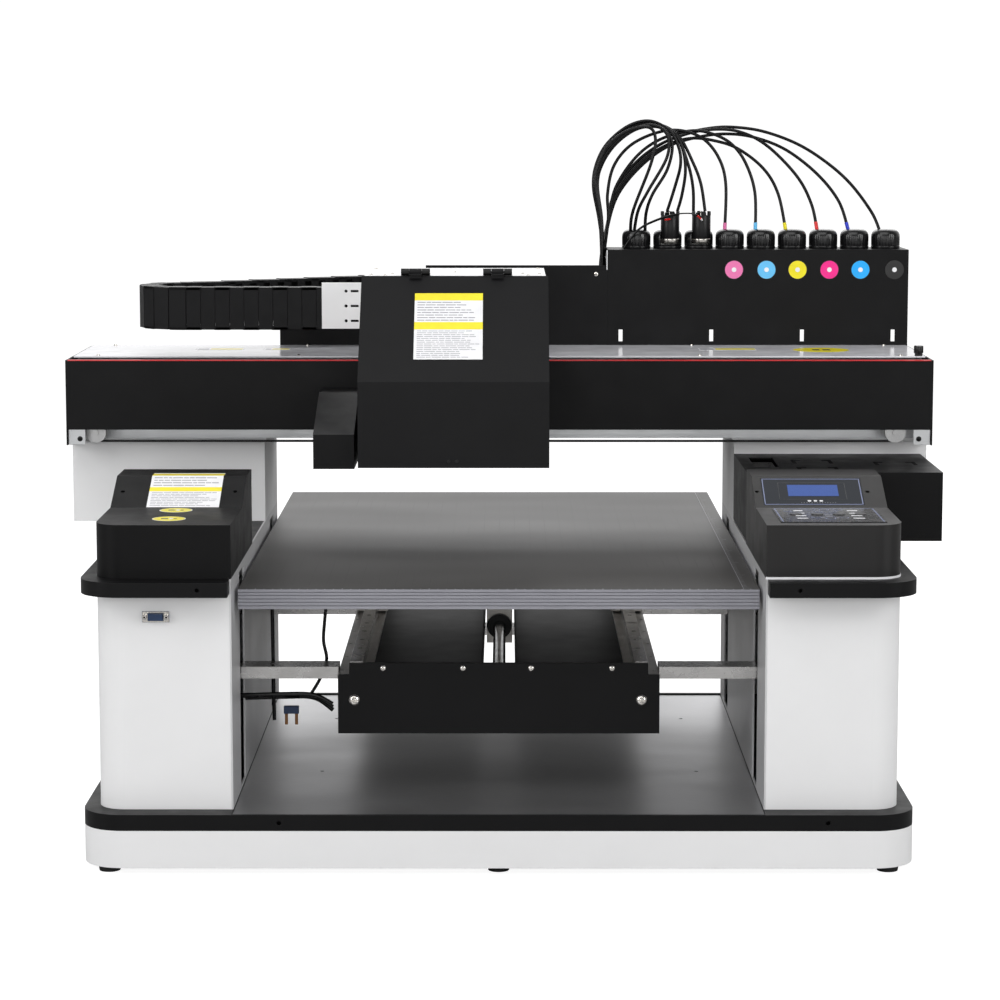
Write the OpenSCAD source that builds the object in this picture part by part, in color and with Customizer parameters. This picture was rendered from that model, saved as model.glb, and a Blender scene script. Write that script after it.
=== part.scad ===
// Flatbed UV printer: a lifting, sliding table between two columns, and a carriage on a gantry.
// Millimetres. +Z is up, +X is the operator's right, -Y is the operator's side.
// The origin is on the floor under the middle of the machine.

/* [Overall] */
// Depth of the machine from the front of the base to the rear end of the bed frame
overall_d = 1078; // [1070:1:1090]
// Clear gap between the two columns
column_gap = 608; // [606:1:614]
// Width of one column
column_w = 156; // [150:1:160]
// Depth of one column
column_d = 695; // [690:1:700]

/* [Base] */
// Width of the base
base_w = 954; // [950:1:960]
// Depth of the base
base_d = 729; // [725:1:735]
// Plan radius of the base corners
base_r = 48; // [40:1:52]
// Height of the rubber feet
foot_h = 9; // [8:1:12]
// Radius of the rubber feet
foot_r = 13.5; // [10:0.5:16]
// Height of the white base tray
base_h = 43.4; // [42:0.2:45]
// Thickness of the black rim plate
rim_t = 18.6; // [18:0.2:20]

/* [Table] */
// Width of the table top
table_w = 600; // [590:1:602]
// Depth of the table top
table_d = 900; // [880:1:905]
// Thickness of the table top
table_t = 23; // [20:1:24]
// Height of the printing face above the floor at rest
table_h = 320; // [318:1:321]
// Distance of the table's front edge behind the front of the base
table_setback = 68; // [60:1:75]

/* [Bed] */
// Half width of the bed frame
bed_half_w = 189; // [186:1:195]
// Width of a linear rail
rail_w = 20; // [15:1:20]
// Height of a linear rail
rail_h = 15; // [12:1:15]
// Radius of the ball screw
screw_r = 8; // [6:0.5:8]

/* [Gantry] */
// Half width of the gantry between its end plates
gantry_half_w = 552; // [550:1:556]
// Height of the gantry's underside above the floor
gantry_z = 442; // [441:1:443]
// Height of the gantry's top face above the floor
gantry_top = 552; // [551:1:553]
// Pitch radius of the belt pulleys
pulley_r = 10.5; // [9:0.5:11]

/* [Carriage] */
// Width of the carriage cover
cover_w = 232; // [228:1:236]
// Height of the cover's lower edge above the floor
cover_z = 437; // [436.5:0.5:438]
// Height of the crease in the cover above the floor
crease_z = 541.6; // [536:0.2:545]
// Height of the carriage's top plate above the floor
carriage_top = 663; // [660:1:665]

/* [Ink] */
// Number of ink bottles
bottle_count = 9; // [9:1:9]
// Distance between bottle centres
bottle_pitch = 42.5; // [42:0.1:43]
// Radius of a bottle cap
cap_r = 19.5; // [18:0.1:20]
// Outer radius of an ink tube
tube_r = 2.2; // [1.5:0.1:2.5]

/* [Cable chain] */
// Height of the cable chain, which lies on its side
chain_h = 55; // [50:1:58]
// Thickness of the cable chain
chain_t = 24; // [20:1:26]
// Bend radius of the chain's middle line
chain_r = 54; // [50:1:58]

/* [Hidden] */
$fn = 48;

// Clearances and sheet thicknesses
run = 0.05;     // radial clearance of a running fit
gap = 0.5;      // gap between sliding pieces
sheet = 2;      // thickness of folded sheet metal

// Levels
base_z = foot_h;
rim_z = base_z + base_h;
rim_top = rim_z + rim_t;
deck_top = rim_top - 2;
deck_t = 3;
shelf_z = 321;
shelf_top = 338;
console_front_h = 62;
console_back_h = 92;

// Plan places
front_y = -overall_d / 2;
base_y = [front_y, front_y + base_d];
base_x = base_w / 2;
col_in = column_gap / 2;
col_x = [col_in, col_in + column_w];
col_y = [front_y + 28, front_y + 28 + column_d];
col_corner = 32;
liner_t = 2;
shelf_x = [col_in + liner_t, base_x];
deck_y = [front_y + 4, col_y[1]];

// Lift drive
lift_x = 395;
lift_y = -146;
guide_y = [-300, 10];
guide_r = 8;

// Bed frame
bed_y = [front_y + 128, overall_d / 2];
bar_x = 420;
bar_z = [202.3, 216.3];
front_bar_y = [-399, -360];
rear_bar_y = [60, 103];
slot_front_y = [-407, -347];
slot_rear_y = [54, 117];
slot_z = [74, 330];
tie_ys = [[-405.5, -366], [200, 243], [450, 493]];
flange_z = [205, 209];
tray_z = 160;
screw_axis_z = 185;
rail_x = 167.5;
y_rail_w = 15;
rail_y = [bed_y[0] + 5, 529];
plate_z = [139, 223];

// Table
table_y = [front_y + table_setback, front_y + table_setback + table_d];
block_half = 35;
block_ys = [69, 289];
block_z = [flange_z[1] + 2, flange_z[1] + 30];
nut_y = [74, 114];

// Consoles: flat front part, slope, and level back part
console_y = [col_y[0], -358, -291, -223];
console_z = [shelf_top, shelf_top + console_front_h, shelf_top + console_back_h];
slope = atan((console_z[2] - console_z[1]) / (console_y[2] - console_y[1]));
slope_len = norm([console_z[2] - console_z[1], console_y[2] - console_y[1]]);
display_w = 120;
display_h = 62;
display_x = 374;
keypad_x = [322, 443];
keypad_y = [-490, -368];
key_y = -425;
key_r = 7;
key_xs = [345, 370, 395, 420];

// Gantry
support_x = [col_in, gantry_half_w + 1];
support_y = [-17, col_y[1]];
panel_y = -63;
panel_z = [462, gantry_top - 2];
cover_y = [-8, 183];
beam_y = [25, 170];
beam_top = 545;
beam_wall = 5;
pulley_x = [-520, 510];
pulley_z = 456;
belt_y = [-36, -26];
belt_t = 2;
x_rail_z = 505;
x_rail_y = [10, beam_y[0]];

// Rear panel, ink rack and bottles
rack_x = [146, 553];
rack_y = [cover_y[1], 269];
rack_z = [578, 681];
rear_panel_x = [-298, rack_x[0]];
rear_panel_step_x = -100;      // where the panel's top steps up
rear_panel_tops = [640, 660];
bottle_x0 = 186.5;
bottle_y = 226;
cap_z = [rack_z[1], 704];
motor_r = 13.3;
motor_top = 732;
motor_shift = [3, -7.5]; // a stirrer motor's offset from its cap
stirred = [1, 2];       // the bottles that have a stirrer
seat_z = cap_z[0] + 13; // floor of a stirrer motor's seat

// Cable chain
chain_z = 588;
chain_front_y = -29;
chain_x = -401;
chain_c_y = chain_front_y + chain_r;
chain_back_y = chain_c_y + chain_r;
chain_bracket_x = [-227, -171];
chain_anchor_y = 157;   // the fixed end's distance back
chain_turn_x = -150;    // where the back run turns parallel to the rear panel
chain_end_x = 20;

// Cap station
station_x = [col_in, 545];
station_y = [console_y[3], -17.3];
station_z = [341, 426];
port_x = [319, 350];
port_y = [-163, -61];

// Carriage
cover_x = [-171, -171 + cover_w];
cover_front = -271;
cover_back = -77;
hinge_y = -144;
hinge_r = 4.5;
hinge_z = carriage_top + hinge_r;
frame_x = [cover_x[0] + 3, cover_x[1] - 3];
carriage_back = 49;
lamp_x = [-226, -176];
head_count = 4;
head_half_w = 17;
head_y = [-232, -128];
plate_front = hinge_y + 2;
hinge_xs = [-122, -20];
hinge_w = 36;
knuckle = 10;
pin_r = 1.5;

// ---------- shared shapes ----------

// A box between two corners
module slab(x, y, z) {
    translate([x[0], y[0], z[0]]) cube([x[1] - x[0], y[1] - y[0], z[1] - z[0]]);
}

// The same piece on the right and, mirrored, on the left
module both_sides() {
    children();
    mirror([1, 0, 0]) children();
}

// A rectangle with all four corners rounded
module rounded_rect(x, y, r) {
    translate([x[0] + r, y[0]]) square([x[1] - x[0] - 2 * r, y[1] - y[0]]);
    translate([x[0], y[0] + r]) square([x[1] - x[0], y[1] - y[0] - 2 * r]);
    for (cx = [x[0] + r, x[1] - r], cy = [y[0] + r, y[1] - r]) translate([cx, cy]) circle(r);
}

// A rectangle with its two corners at the larger x rounded
module outer_rounded(x, y, r) {
    translate([x[0], y[0]]) square([x[1] - x[0] - r, y[1] - y[0]]);
    translate([x[0], y[0] + r]) square([x[1] - x[0], y[1] - y[0] - 2 * r]);
    for (cy = [y[0] + r, y[1] - r]) translate([x[1] - r, cy]) circle(r);
}

// A rectangle with only its corner at the larger x and smaller y rounded
module front_rounded(x, y, r) {
    translate([x[0], y[0]]) square([x[1] - x[0] - r, y[1] - y[0]]);
    translate([x[0], y[0] + r]) square([x[1] - x[0], y[1] - y[0] - r]);
    translate([x[1] - r, y[0] + r]) circle(r);
}

// An outline given in Y and Z, made as thick as the range x
module side_profile(x, points) {
    translate([x[0], 0, 0]) rotate([90, 0, 90]) linear_extrude(x[1] - x[0]) polygon(points);
}

// Cylinders along Y and Z between two positions
module rod_y(r, x, z, y) {
    translate([x, y[1], z]) rotate([90, 0, 0]) cylinder(r = r, h = y[1] - y[0]);
}

module rod_z(r, x, y, z) {
    translate([x, y, z[0]]) cylinder(r = r, h = z[1] - z[0]);
}

// A pan-head screw whose head stands out along -Y
module pan_screw_y(x, y, z, r) {
    translate([x, y, z]) rotate([90, 0, 0]) difference() {
        rotate_extrude() intersection() {
            translate([0, -r * 0.6]) circle(r * 1.2);
            square([r, r]);
        }
        for (a = [0, 90]) rotate([0, 0, a])
            translate([-r * 0.6, -r * 0.12, r * 0.3]) cube([r * 1.2, r * 0.24, r]);
    }
}

// A stepper motor with its shaft side up, on the centre of its base
module motor_up(size, h) {
    difference() {
        translate([-size / 2, -size / 2, 0]) cube([size, size, h]);
        for (x = [-1, 1], y = [-1, 1])
            translate([x * size * 0.41, y * size * 0.41, -1]) cylinder(r = 2.5, h = h + 2);
    }
    translate([0, 0, h]) cylinder(r = size / 3, h = 1.6);
}

// ---------- base ----------

module base_plan(inset) {
    rounded_rect([-base_x + inset, base_x - inset], [base_y[0] + inset, base_y[1] - inset],
                 base_r - inset);
}

module base_shell() {
    color("whitesmoke") difference() {
        translate([0, 0, base_z]) linear_extrude(base_h) base_plan(0);
        translate([0, 0, base_z + sheet]) linear_extrude(base_h) base_plan(sheet);
    }
}

module base_rim() {
    inner_lip = 14;
    color("black") difference() {
        translate([0, 0, rim_z]) linear_extrude(rim_t) base_plan(0);
        slab([-col_in, col_in], deck_y, [deck_top - deck_t, rim_top + 1]);
        slab([-col_in + inner_lip, col_in - inner_lip],
             [deck_y[0] + inner_lip, deck_y[1] - inner_lip], [rim_z - 1, rim_top]);
        both_sides() rod_z(12, lift_x, lift_y, [rim_z - 1, rim_top + 1]);
        for (x = [-250, 375]) rod_y(2.6, x, rim_z + rim_t / 2, [base_y[0] - 1, base_y[0] + 12]);
    }
}

module deck_plate() {
    edge = 0.3;
    color("silver") difference() {
        slab([-col_in + edge, col_in - edge], [deck_y[0] + edge, deck_y[1] - edge],
             [deck_top - deck_t, deck_top]);
        for (x = [-215, 240], y = [-300, 20]) rod_z(2.6, x, y, [deck_top - deck_t - 1, deck_top + 1]);
    }
}

module feet() {
    color("black") for (x = [-447, 0, 447], y = [base_y[0] + 30, base_y[1] - 30])
        translate([x, y, 0]) cylinder(r1 = foot_r - 1.5, r2 = foot_r, h = foot_h);
}

// ---------- columns ----------

module column_plan(inset) {
    outer_rounded([col_x[0] + liner_t, col_x[1] - inset], [col_y[0] + inset, col_y[1] - inset],
                  col_corner - inset);
}

module column_shell() {
    difference() {
        translate([0, 0, rim_top]) linear_extrude(shelf_z - rim_top) column_plan(0);
        translate([0, 0, rim_top - 1]) linear_extrude(shelf_z - rim_top + 2) column_plan(sheet);
    }
}

module column_shells() {
    connector_x = -390;
    color("white") difference() {
        both_sides() column_shell();
        slab([connector_x - 10, connector_x + 10], [col_y[0] - 1, col_y[0] + sheet + 1], [290, 300]);
    }
}

module column_liners() {
    color("lightgray") both_sides() difference() {
        slab([col_in, col_in + liner_t], col_y, [rim_top, shelf_top]);
        slab([col_in - 1, col_in + liner_t + 1], slot_front_y, slot_z);
        slab([col_in - 1, col_in + liner_t + 1], slot_rear_y, slot_z);
    }
}

module column_shelves() {
    color("black") both_sides() difference() {
        translate([0, 0, shelf_z]) linear_extrude(shelf_top - shelf_z)
            outer_rounded(shelf_x, [front_y, col_y[1]], base_r);
        rod_z(screw_r + run, lift_x, lift_y, [shelf_z - 1, shelf_z + 10]);
        rod_y(2.4, col_in + 36, (shelf_z + shelf_top) / 2, [front_y - 1, front_y + 12]);
    }
}

// ---------- consoles ----------

function console_points(t) = [
    [console_y[0] + t, console_z[0] - 1], [console_y[0] + t, console_z[1] - t],
    [console_y[1], console_z[1] - t], [console_y[2], console_z[2] - t],
    [console_y[3] - t, console_z[2] - t], [console_y[3] - t, console_z[0] - 1]
];

// The console as a solid, shrunk by t on every side but the bottom
module console_form(t) {
    intersection() {
        side_profile([col_x[0] + t, col_x[1] - t], console_points(t));
        translate([0, 0, console_z[0] - (t > 0 ? 1 : 0)]) linear_extrude(console_back_h + 2)
            front_rounded([col_x[0] + t, col_x[1] - t], [console_y[0] + t, console_y[3] - t],
                          col_corner - t);
    }
}

module console_shell() {
    difference() {
        console_form(0);
        console_form(sheet);
    }
}

// Children are placed on the slope: x across, y up the slope, z out of it
module on_slope(x, up) {
    translate([x, console_y[1], console_z[1]]) rotate([slope, 0, 0]) translate([0, up, 0]) children();
}

module left_console() {
    color("black") difference() {
        mirror([1, 0, 0]) console_shell();
        for (x = [-315, -449]) on_slope(x, slope_len / 2)
            translate([0, 0, -sheet - 3]) cylinder(r = 2.6, h = sheet + 6);
    }
}

module right_console() {
    color("black") difference() {
        console_shell();
        on_slope(display_x, slope_len / 2) translate([-display_w / 2, -display_h / 2, -sheet - 3])
            cube([display_w, display_h, sheet + 6]);
        for (x = [-1, 1]) on_slope(display_x + x * 66, slope_len / 2)
            translate([0, 0, -sheet - 3]) cylinder(r = 2.6, h = sheet + 6);
        for (x = key_xs) rod_z(key_r + 1, x, key_y, [console_z[1] - sheet - 1, console_z[1] + 1]);
    }
}

module display_module() {
    window_t = 2;
    board_t = 6;
    color("midnightblue") on_slope(display_x, slope_len / 2) {
        translate([-display_w / 2 + 0.2, -display_h / 2 + 0.2, -window_t])
            cube([display_w - 0.4, display_h - 0.4, window_t]);
        translate([-display_w / 2 + 2, -display_h / 2 + 2, -window_t - board_t])
            cube([display_w - 4, display_h - 4, board_t]);
    }
}

// A membrane panel on the console's flat part, with a bore over each key
module keypad_panel() {
    panel_t = 1;
    color("dimgray") difference() {
        slab(keypad_x, keypad_y, [console_z[1], console_z[1] + panel_t]);
        for (x = key_xs) rod_z(key_r + run, x, key_y, [console_z[1] - 1, console_z[1] + panel_t + 1]);
    }
}

// A push key: a cap that stands out of the panel and a wider foot below the sheet
module key(i) {
    key_top = console_z[1] + 2.2;
    foot_top = console_z[1] - sheet - 0.2;
    color("gainsboro") {
        rod_z(key_r, key_xs[i], key_y, [foot_top - 1, key_top]);
        rod_z(key_r + 2, key_xs[i], key_y, [foot_top - 2, foot_top]);
    }
}

module key_left() { key(0); }
module key_up() { key(1); }
module key_down() { key(2); }
module key_right() { key(3); }

// A nine-pin connector with its two jack screws, on the left column's front
module data_connector() {
    x = -390;
    z = 295;
    color("steelblue") {
        slab([x - 15.4, x + 15.4], [col_y[0] - 1, col_y[0]], [z - 6.2, z + 6.2]);
        slab([x - 8.5, x + 8.5], [col_y[0] - 6, col_y[0] + 8], [z - 4, z + 4]);
    }
    color("silver") for (s = [-1, 1]) rod_y(2.6, x + s * 12.4, z, [col_y[0] - 6, col_y[0] - 1]);
}

// ---------- gantry ----------

module gantry_supports() {
    wall = 3;
    color("white") both_sides() difference() {
        slab(support_x, support_y, [shelf_top, gantry_z]);
        slab([support_x[0] + wall, support_x[1] - wall], [support_y[0] + wall, support_y[1] - wall],
             [shelf_top + wall, gantry_z - wall]);
        slab([support_x[0] + 20, col_x[1] - 20], [support_y[0] + 20, support_y[1] - 20],
             [shelf_top - 1, shelf_top + wall + 1]);
    }
}

module gantry_beam() {
    shaft_r = 4;
    color("gray") difference() {
        slab([-gantry_half_w + 1, gantry_half_w - 1], beam_y, [gantry_z, beam_top]);
        slab([-gantry_half_w, gantry_half_w], [beam_y[0] + beam_wall, beam_y[1] - beam_wall],
             [gantry_z + beam_wall, beam_top - beam_wall]);
        for (x = pulley_x)
            rod_y(shaft_r + run, x, pulley_z, [beam_y[0] - 1, beam_y[0] + beam_wall + 1]);
    }
}

module gantry_front_panel() {
    flange = 8;
    x = [-gantry_half_w, gantry_half_w];
    color("black") {
        slab(x, [panel_y, panel_y + sheet], panel_z);
        slab(x, [panel_y, panel_y + flange], [panel_z[1] - sheet, panel_z[1]]);
        slab(x, [panel_y, panel_y + flange], [panel_z[0], panel_z[0] + sheet]);
    }
}

module gantry_top_cover() {
    x = [-gantry_half_w + 1, gantry_half_w - 1];
    color("lightsteelblue") {
        slab(x, cover_y, [gantry_top - sheet, gantry_top]);
        for (y = [30, 150]) slab(x, [y, y + 12], [beam_top, gantry_top - sheet]);
    }
}

module gantry_end_plates() {
    plate_t = 2;
    color("black") both_sides() side_profile([gantry_half_w, gantry_half_w + plate_t], [
        [panel_y, gantry_z], [cover_y[1], gantry_z],
        [cover_y[1], gantry_top - 1], [panel_y, gantry_top - 1]
    ]);
}

module gantry_screws() {
    head_r = 3;
    head_h = 1.6;
    color("silver") {
        for (x = [-520, -260, 0, 260, 520], y = [cover_y[0] + 8, cover_y[1] - 8])
            translate([x, y, gantry_top]) cylinder(r1 = head_r, r2 = head_r - 1, h = head_h);
        both_sides() for (y = [-40, 0, 60, 140], z = [470, 535])
            translate([gantry_half_w + 2, y, z]) rotate([0, 90, 0])
                cylinder(r1 = head_r, r2 = head_r - 1, h = head_h + 0.4);
    }
}

module x_rail() {
    color("silver") slab([-540, 540], x_rail_y, [x_rail_z - rail_w / 2, x_rail_z + rail_w / 2]);
}

// A flat belt round the two pulleys
module belt_plan(r) {
    for (x = pulley_x) translate([x, 0]) circle(r);
    translate([pulley_x[0], -r]) square([pulley_x[1] - pulley_x[0], 2 * r]);
}

module drive_belt() {
    inner = pulley_r + 0.3;
    color("black") translate([0, belt_y[1], pulley_z]) rotate([90, 0, 0])
        linear_extrude(belt_y[1] - belt_y[0]) difference() {
            belt_plan(inner + belt_t);
            belt_plan(inner);
        }
}

// A flanged pulley on its own shaft, which runs in the beam's front wall
module pulley(x) {
    flange_r = pulley_r + 3;
    color("silver") {
        rod_y(pulley_r, x, pulley_z, belt_y);
        rod_y(flange_r, x, pulley_z, [belt_y[0] - 2, belt_y[0] - 0.5]);
        rod_y(flange_r, x, pulley_z, [belt_y[1] + 0.5, belt_y[1] + 2]);
        rod_y(pulley_r, x, pulley_z, [belt_y[0] - 0.6, belt_y[0] + 0.1]);
        rod_y(pulley_r, x, pulley_z, [belt_y[1] - 0.1, belt_y[1] + 0.6]);
        rod_y(4, x, pulley_z, [belt_y[0] - 5, beam_y[0] + 14]);
    }
}

module left_pulley() { pulley(pulley_x[0]); }
module right_pulley() { pulley(pulley_x[1]); }

module drive_motors() {
    color("dimgray") {
        both_sides() translate([lift_x, lift_y, base_z + sheet]) motor_up(57, 38);
        translate([460, 100, gantry_z + beam_wall]) motor_up(57, 50);
    }
}

// ---------- rear panel, chain and ink ----------

module rear_panel() {
    y = [cover_y[1], cover_y[1] + sheet];
    color("black") {
        slab(rear_panel_x, y, [beam_top, rear_panel_tops[0]]);
        slab([rear_panel_step_x, rear_panel_x[1]], y, [beam_top, rear_panel_tops[1]]);
        slab([5, 35], [chain_anchor_y + chain_t / 2, y[0]], [600, 630]);
        slab([106, 145], [y[1], y[1] + 73], [560, 572]);
    }
}

module chain_back_run() {
    half = chain_t / 2;
    color("black") translate([0, 0, chain_z]) linear_extrude(chain_h) polygon([
        [chain_x + 0.3, chain_back_y - half], [chain_turn_x, chain_anchor_y - half],
        [chain_end_x, chain_anchor_y - half], [chain_end_x, chain_anchor_y + half],
        [chain_turn_x, chain_anchor_y + half], [chain_x + 0.3, chain_back_y + half]
    ]);
}

module chain_loop() {
    r = [chain_r - chain_t / 2, chain_r + chain_t / 2];
    color("black") intersection() {
        difference() {
            rod_z(r[1], chain_x, chain_c_y, [chain_z, chain_z + chain_h]);
            rod_z(r[0], chain_x, chain_c_y, [chain_z - 1, chain_z + chain_h + 1]);
        }
        slab([chain_x - r[1] - 1, chain_x], [chain_c_y - r[1] - 1, chain_c_y + r[1] + 1],
             [chain_z - 1, chain_z + chain_h + 1]);
    }
}

module chain_front_run() {
    half = chain_t / 2;
    color("black") slab([chain_x + 0.3, chain_bracket_x[0] + 30],
                        [chain_front_y - half, chain_front_y + half], [chain_z, chain_z + chain_h]);
}

// The plate that holds the chain's moving end
module chain_bracket() {
    y = [chain_front_y - chain_t / 2 - 3, chain_front_y - chain_t / 2];
    color("whitesmoke") difference() {
        slab(chain_bracket_x, y, [590, 649]);
        for (z = [600, 619, 638]) {
            rod_y(2, -196, z, [y[0] - 1, y[1] + 1]);
            slab([-190, -180], [y[0] - 1, y[1] + 1], [z - 1.5, z + 1.5]);
        }
    }
}

module ink_rack() {
    color("black") difference() {
        slab(rack_x, rack_y, rack_z);
        slab([rack_x[0] + sheet, rack_x[1] - sheet], [rack_y[0] + sheet, rack_y[1] - sheet],
             [rack_z[0] + sheet, rack_z[1] - sheet]);
        for (i = [0:bottle_count - 1])
            rod_z(17, bottle_x0 + i * bottle_pitch, bottle_y, [rack_z[1] - sheet - 1, rack_z[1] + 1]);
    }
    color("black") difference() {
        slab(rack_x, [rack_y[0], rack_y[0] + sheet], [beam_top, rack_z[0] + 1]);
        for (x = [164, 287, 410, 533])
            slab([x - 2.7, x + 2.7], [rack_y[0] - 1, rack_y[0] + sheet + 1], [557, 573]);
    }
}

module bottle() {
    body_r = 19.5;
    neck_r = 16;
    wall = 1.5;
    z = [rack_z[0] + sheet, 672];
    difference() {
        rotate_extrude() polygon([
            [0, z[0]], [body_r, z[0]], [body_r, z[1] - 8], [neck_r, z[1]],
            [neck_r, 692], [0, 692]
        ]);
        rotate_extrude() polygon([
            [0, z[0] + wall], [body_r - wall, z[0] + wall], [body_r - wall, z[1] - 8.5],
            [neck_r - wall, z[1] - 0.5], [neck_r - wall, 693], [0, 693]
        ]);
    }
}

module ink_bottles() {
    color("ghostwhite") for (i = [0:bottle_count - 1])
        translate([bottle_x0 + i * bottle_pitch, bottle_y, 0]) bottle();
}

module plain_cap() {
    inner_r = 16.2;
    difference() {
        rotate_extrude() polygon([
            [0, cap_z[0]], [cap_r, cap_z[0]], [cap_r, cap_z[1] - 5], [cap_r - 3, cap_z[1]], [0, cap_z[1]]
        ]);
        rod_z(inner_r, 0, 0, [cap_z[0] - 1, cap_z[0] + 11.2]);
    }
}

// A cap with a seat for a stirrer motor, open at the front, and a hole for its shaft
module motor_cap() {
    seat_r = motor_r + 0.7;
    difference() {
        plain_cap();
        rod_z(seat_r, motor_shift[0], motor_shift[1], [seat_z, cap_z[1] + 1]);
        slab([motor_shift[0] - seat_r, motor_shift[0] + seat_r], [-cap_r - 1, motor_shift[1]],
             [seat_z, cap_z[1] + 1]);
        rod_z(3, 0, 0, [cap_z[0], cap_z[1]]);
    }
}

module bottle_caps() {
    color("black") for (i = [0:bottle_count - 1])
        translate([bottle_x0 + i * bottle_pitch, bottle_y, 0])
            if (i == stirred[0] || i == stirred[1]) motor_cap(); else plain_cap();
}

module stirrer_motors() {
    color("black") for (i = stirred)
        rod_z(motor_r, bottle_x0 + i * bottle_pitch + motor_shift[0], bottle_y + motor_shift[1],
              [seat_z, motor_top]);
}

// A stirrer shaft with a flat paddle near the bottom of its bottle
module stirrer(i) {
    shaft_r = 2;
    paddle_z = [592, 606];
    color("silver") translate([bottle_x0 + i * bottle_pitch, bottle_y, 0]) {
        rod_z(shaft_r, 0, 0, [paddle_z[0] + 4, seat_z - 0.3]);
        slab([-11, 11], [-1, 1], paddle_z);
    }
}

module left_stirrer() { stirrer(stirred[0]); }
module right_stirrer() { stirrer(stirred[1]); }

// Every tube rises in one bundle behind the rear panel, then spreads to the caps. Each keeps
// to its own plane, so that no two meet. A row is one tube's points across and up after the
// bundle, and the last one is where it lands on its cap or stirrer motor.
tube_routes = [
    [[137, 720], [129, 768], [134, 797], [148, 823], [174, 841],
     [201, 845], [210, 829], [204, 796], [181, 733], [178, 705]],
    [[138, 720], [131, 765], [136, 795], [152, 821], [179, 841], [206, 848],
     [226, 835], [226, 805], [201, 760], [188, 733], [183, 705]],
    [[138, 720], [131, 768], [138, 797], [158, 825], [187, 845], [217, 845],
     [233, 824], [227, 789], [207, 755], [199, 730], [198, 705]],
    [[135, 720], [127, 765], [131, 796], [146, 824], [174, 847], [203, 853.6],
     [229, 841], [242, 819], [245, 795], [238, 765], [228, 733]],
    [[136, 720], [128, 768], [135, 799], [152, 825], [182, 847], [211, 850],
     [236, 837], [248, 816], [252, 787], [248, 755], [242, 733]],
    [[139, 720], [133, 768], [140, 797], [159, 824], [187, 843],
     [217, 845], [241, 831], [256, 795], [263, 763], [264, 733]],
    [[138, 720], [132, 771], [140, 800], [160, 828], [190, 847],
     [219, 848], [244, 832], [263, 797], [274, 768], [280, 733]],
    [[148, 720], [147, 755], [155, 792], [177, 820], [211, 837],
     [244, 841], [276, 830], [298, 804], [308, 768], [307, 705]],
    [[149, 720], [158, 763], [185, 804], [217, 828], [257, 840],
     [287, 837], [315, 823], [335, 797], [348, 757], [349, 705]],
    [[150, 720], [162, 760], [194, 799], [228, 821], [260, 830],
     [292, 827], [325, 816], [360, 789], [380, 755], [391, 705]],
    [[149, 720], [157, 755], [181, 792], [214, 819], [252, 835], [289, 842],
     [327, 839], [365, 820], [406, 779], [426, 741], [434, 705]],
    [[149, 714], [163, 755], [193, 792], [230, 819], [273, 832], [311, 836],
     [349, 831], [392, 814], [435, 781], [464, 744], [477, 705]],
    [[149, 720], [155, 749], [177, 785], [209, 815], [249, 835], [289, 844], [322, 845],
     [362, 839], [408, 822], [448, 797], [481, 768], [509, 730], [520, 705]]
];
tube_lane = 5.2;
tube_lane_y = 191;
tube_sides = 8;
steps_per_span = 2;

// A tube's points in space: its plane bends towards its cap over the last two points
function tube_points(i) = let (
    row = tube_routes[i],
    last = len(row) - 1,
    lane = tube_lane_y + i * tube_lane,
    land = bottle_y + (lane - bottle_y) * 0.3,
    x = 139 + i % 4
) concat(
    [[x, lane, 572.3], [x, lane, 620], [x, lane, 665]],
    [for (k = [0:last]) [row[k][0], lane + (land - lane) * max(k - last + 2, 0) / 2, row[k][1]]]
);
function catmull(a, b, c, d, t) =
    0.5 * (2 * b + (c - a) * t + (2 * a - 5 * b + 4 * c - d) * t * t + (3 * b - a - 3 * c + d) * t * t * t);
function smooth(p, n) = let (last = len(p) - 1) [
    for (i = [0:last - 1], k = [0:n - 1])
        catmull(p[max(i - 1, 0)], p[i], p[i + 1], p[min(i + 2, last)], k / n),
    p[last]
];
function unit(v) = v / norm(v);
function heading(p, i) = unit(p[min(i + 1, len(p) - 1)] - p[max(i - 1, 0)]);
function ring(p, i, r, n) = let (t = heading(p, i), u = unit(cross(t, [0, 1, 0])), v = cross(u, t))
    [for (k = [0:n - 1]) p[i] + r * (cos(360 * k / n) * u + sin(360 * k / n) * v)];

// A round tube swept along points
module swept_tube(p, r, n) {
    rings = len(p);
    points = [for (i = [0:rings - 1], q = ring(p, i, r, n)) q];
    sides = [for (i = [0:rings - 2], k = [0:n - 1])
        [i * n + k, (i + 1) * n + k, (i + 1) * n + (k + 1) % n, i * n + (k + 1) % n]];
    start = [for (k = [0:n - 1]) k];
    end = [for (k = [n - 1:-1:0]) (rings - 1) * n + k];
    polyhedron(points, concat(sides, [start], [end]));
}

module ink_tubes() {
    color("black") for (i = [0:len(tube_routes) - 1])
        swept_tube(smooth(tube_points(i), steps_per_span), tube_r, tube_sides);
}

// ---------- cap station ----------

module cap_station_housing() {
    color("black") {
        difference() {
            slab(station_x, station_y, station_z);
            slab([station_x[0] + sheet, station_x[1] - sheet],
                 [station_y[0] + sheet, station_y[1] - sheet], [station_z[0] + sheet, station_z[1] - sheet]);
            slab(port_x, port_y, [station_z[1] - sheet - 1, station_z[1] + 1]);
        }
        slab([col_x[0] + 6, col_x[1] - 6], [station_y[0] + 6, station_y[1] - 6], [shelf_top, station_z[0]]);
    }
}

module cap_station() {
    tray_x = [port_x[0] + 1, port_x[1] - 1];
    tray_y = [port_y[0] + 1, port_y[1] - 1];
    top = station_z[1] - 6;
    color("dimgray") difference() {
        slab(tray_x, tray_y, [356, top]);
        for (i = [0:3]) slab([tray_x[0] + 4, tray_x[1] - 4],
                             [tray_y[0] + 4 + i * 24, tray_y[0] + 22 + i * 24], [top - 5, top + 1]);
    }
}

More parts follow.
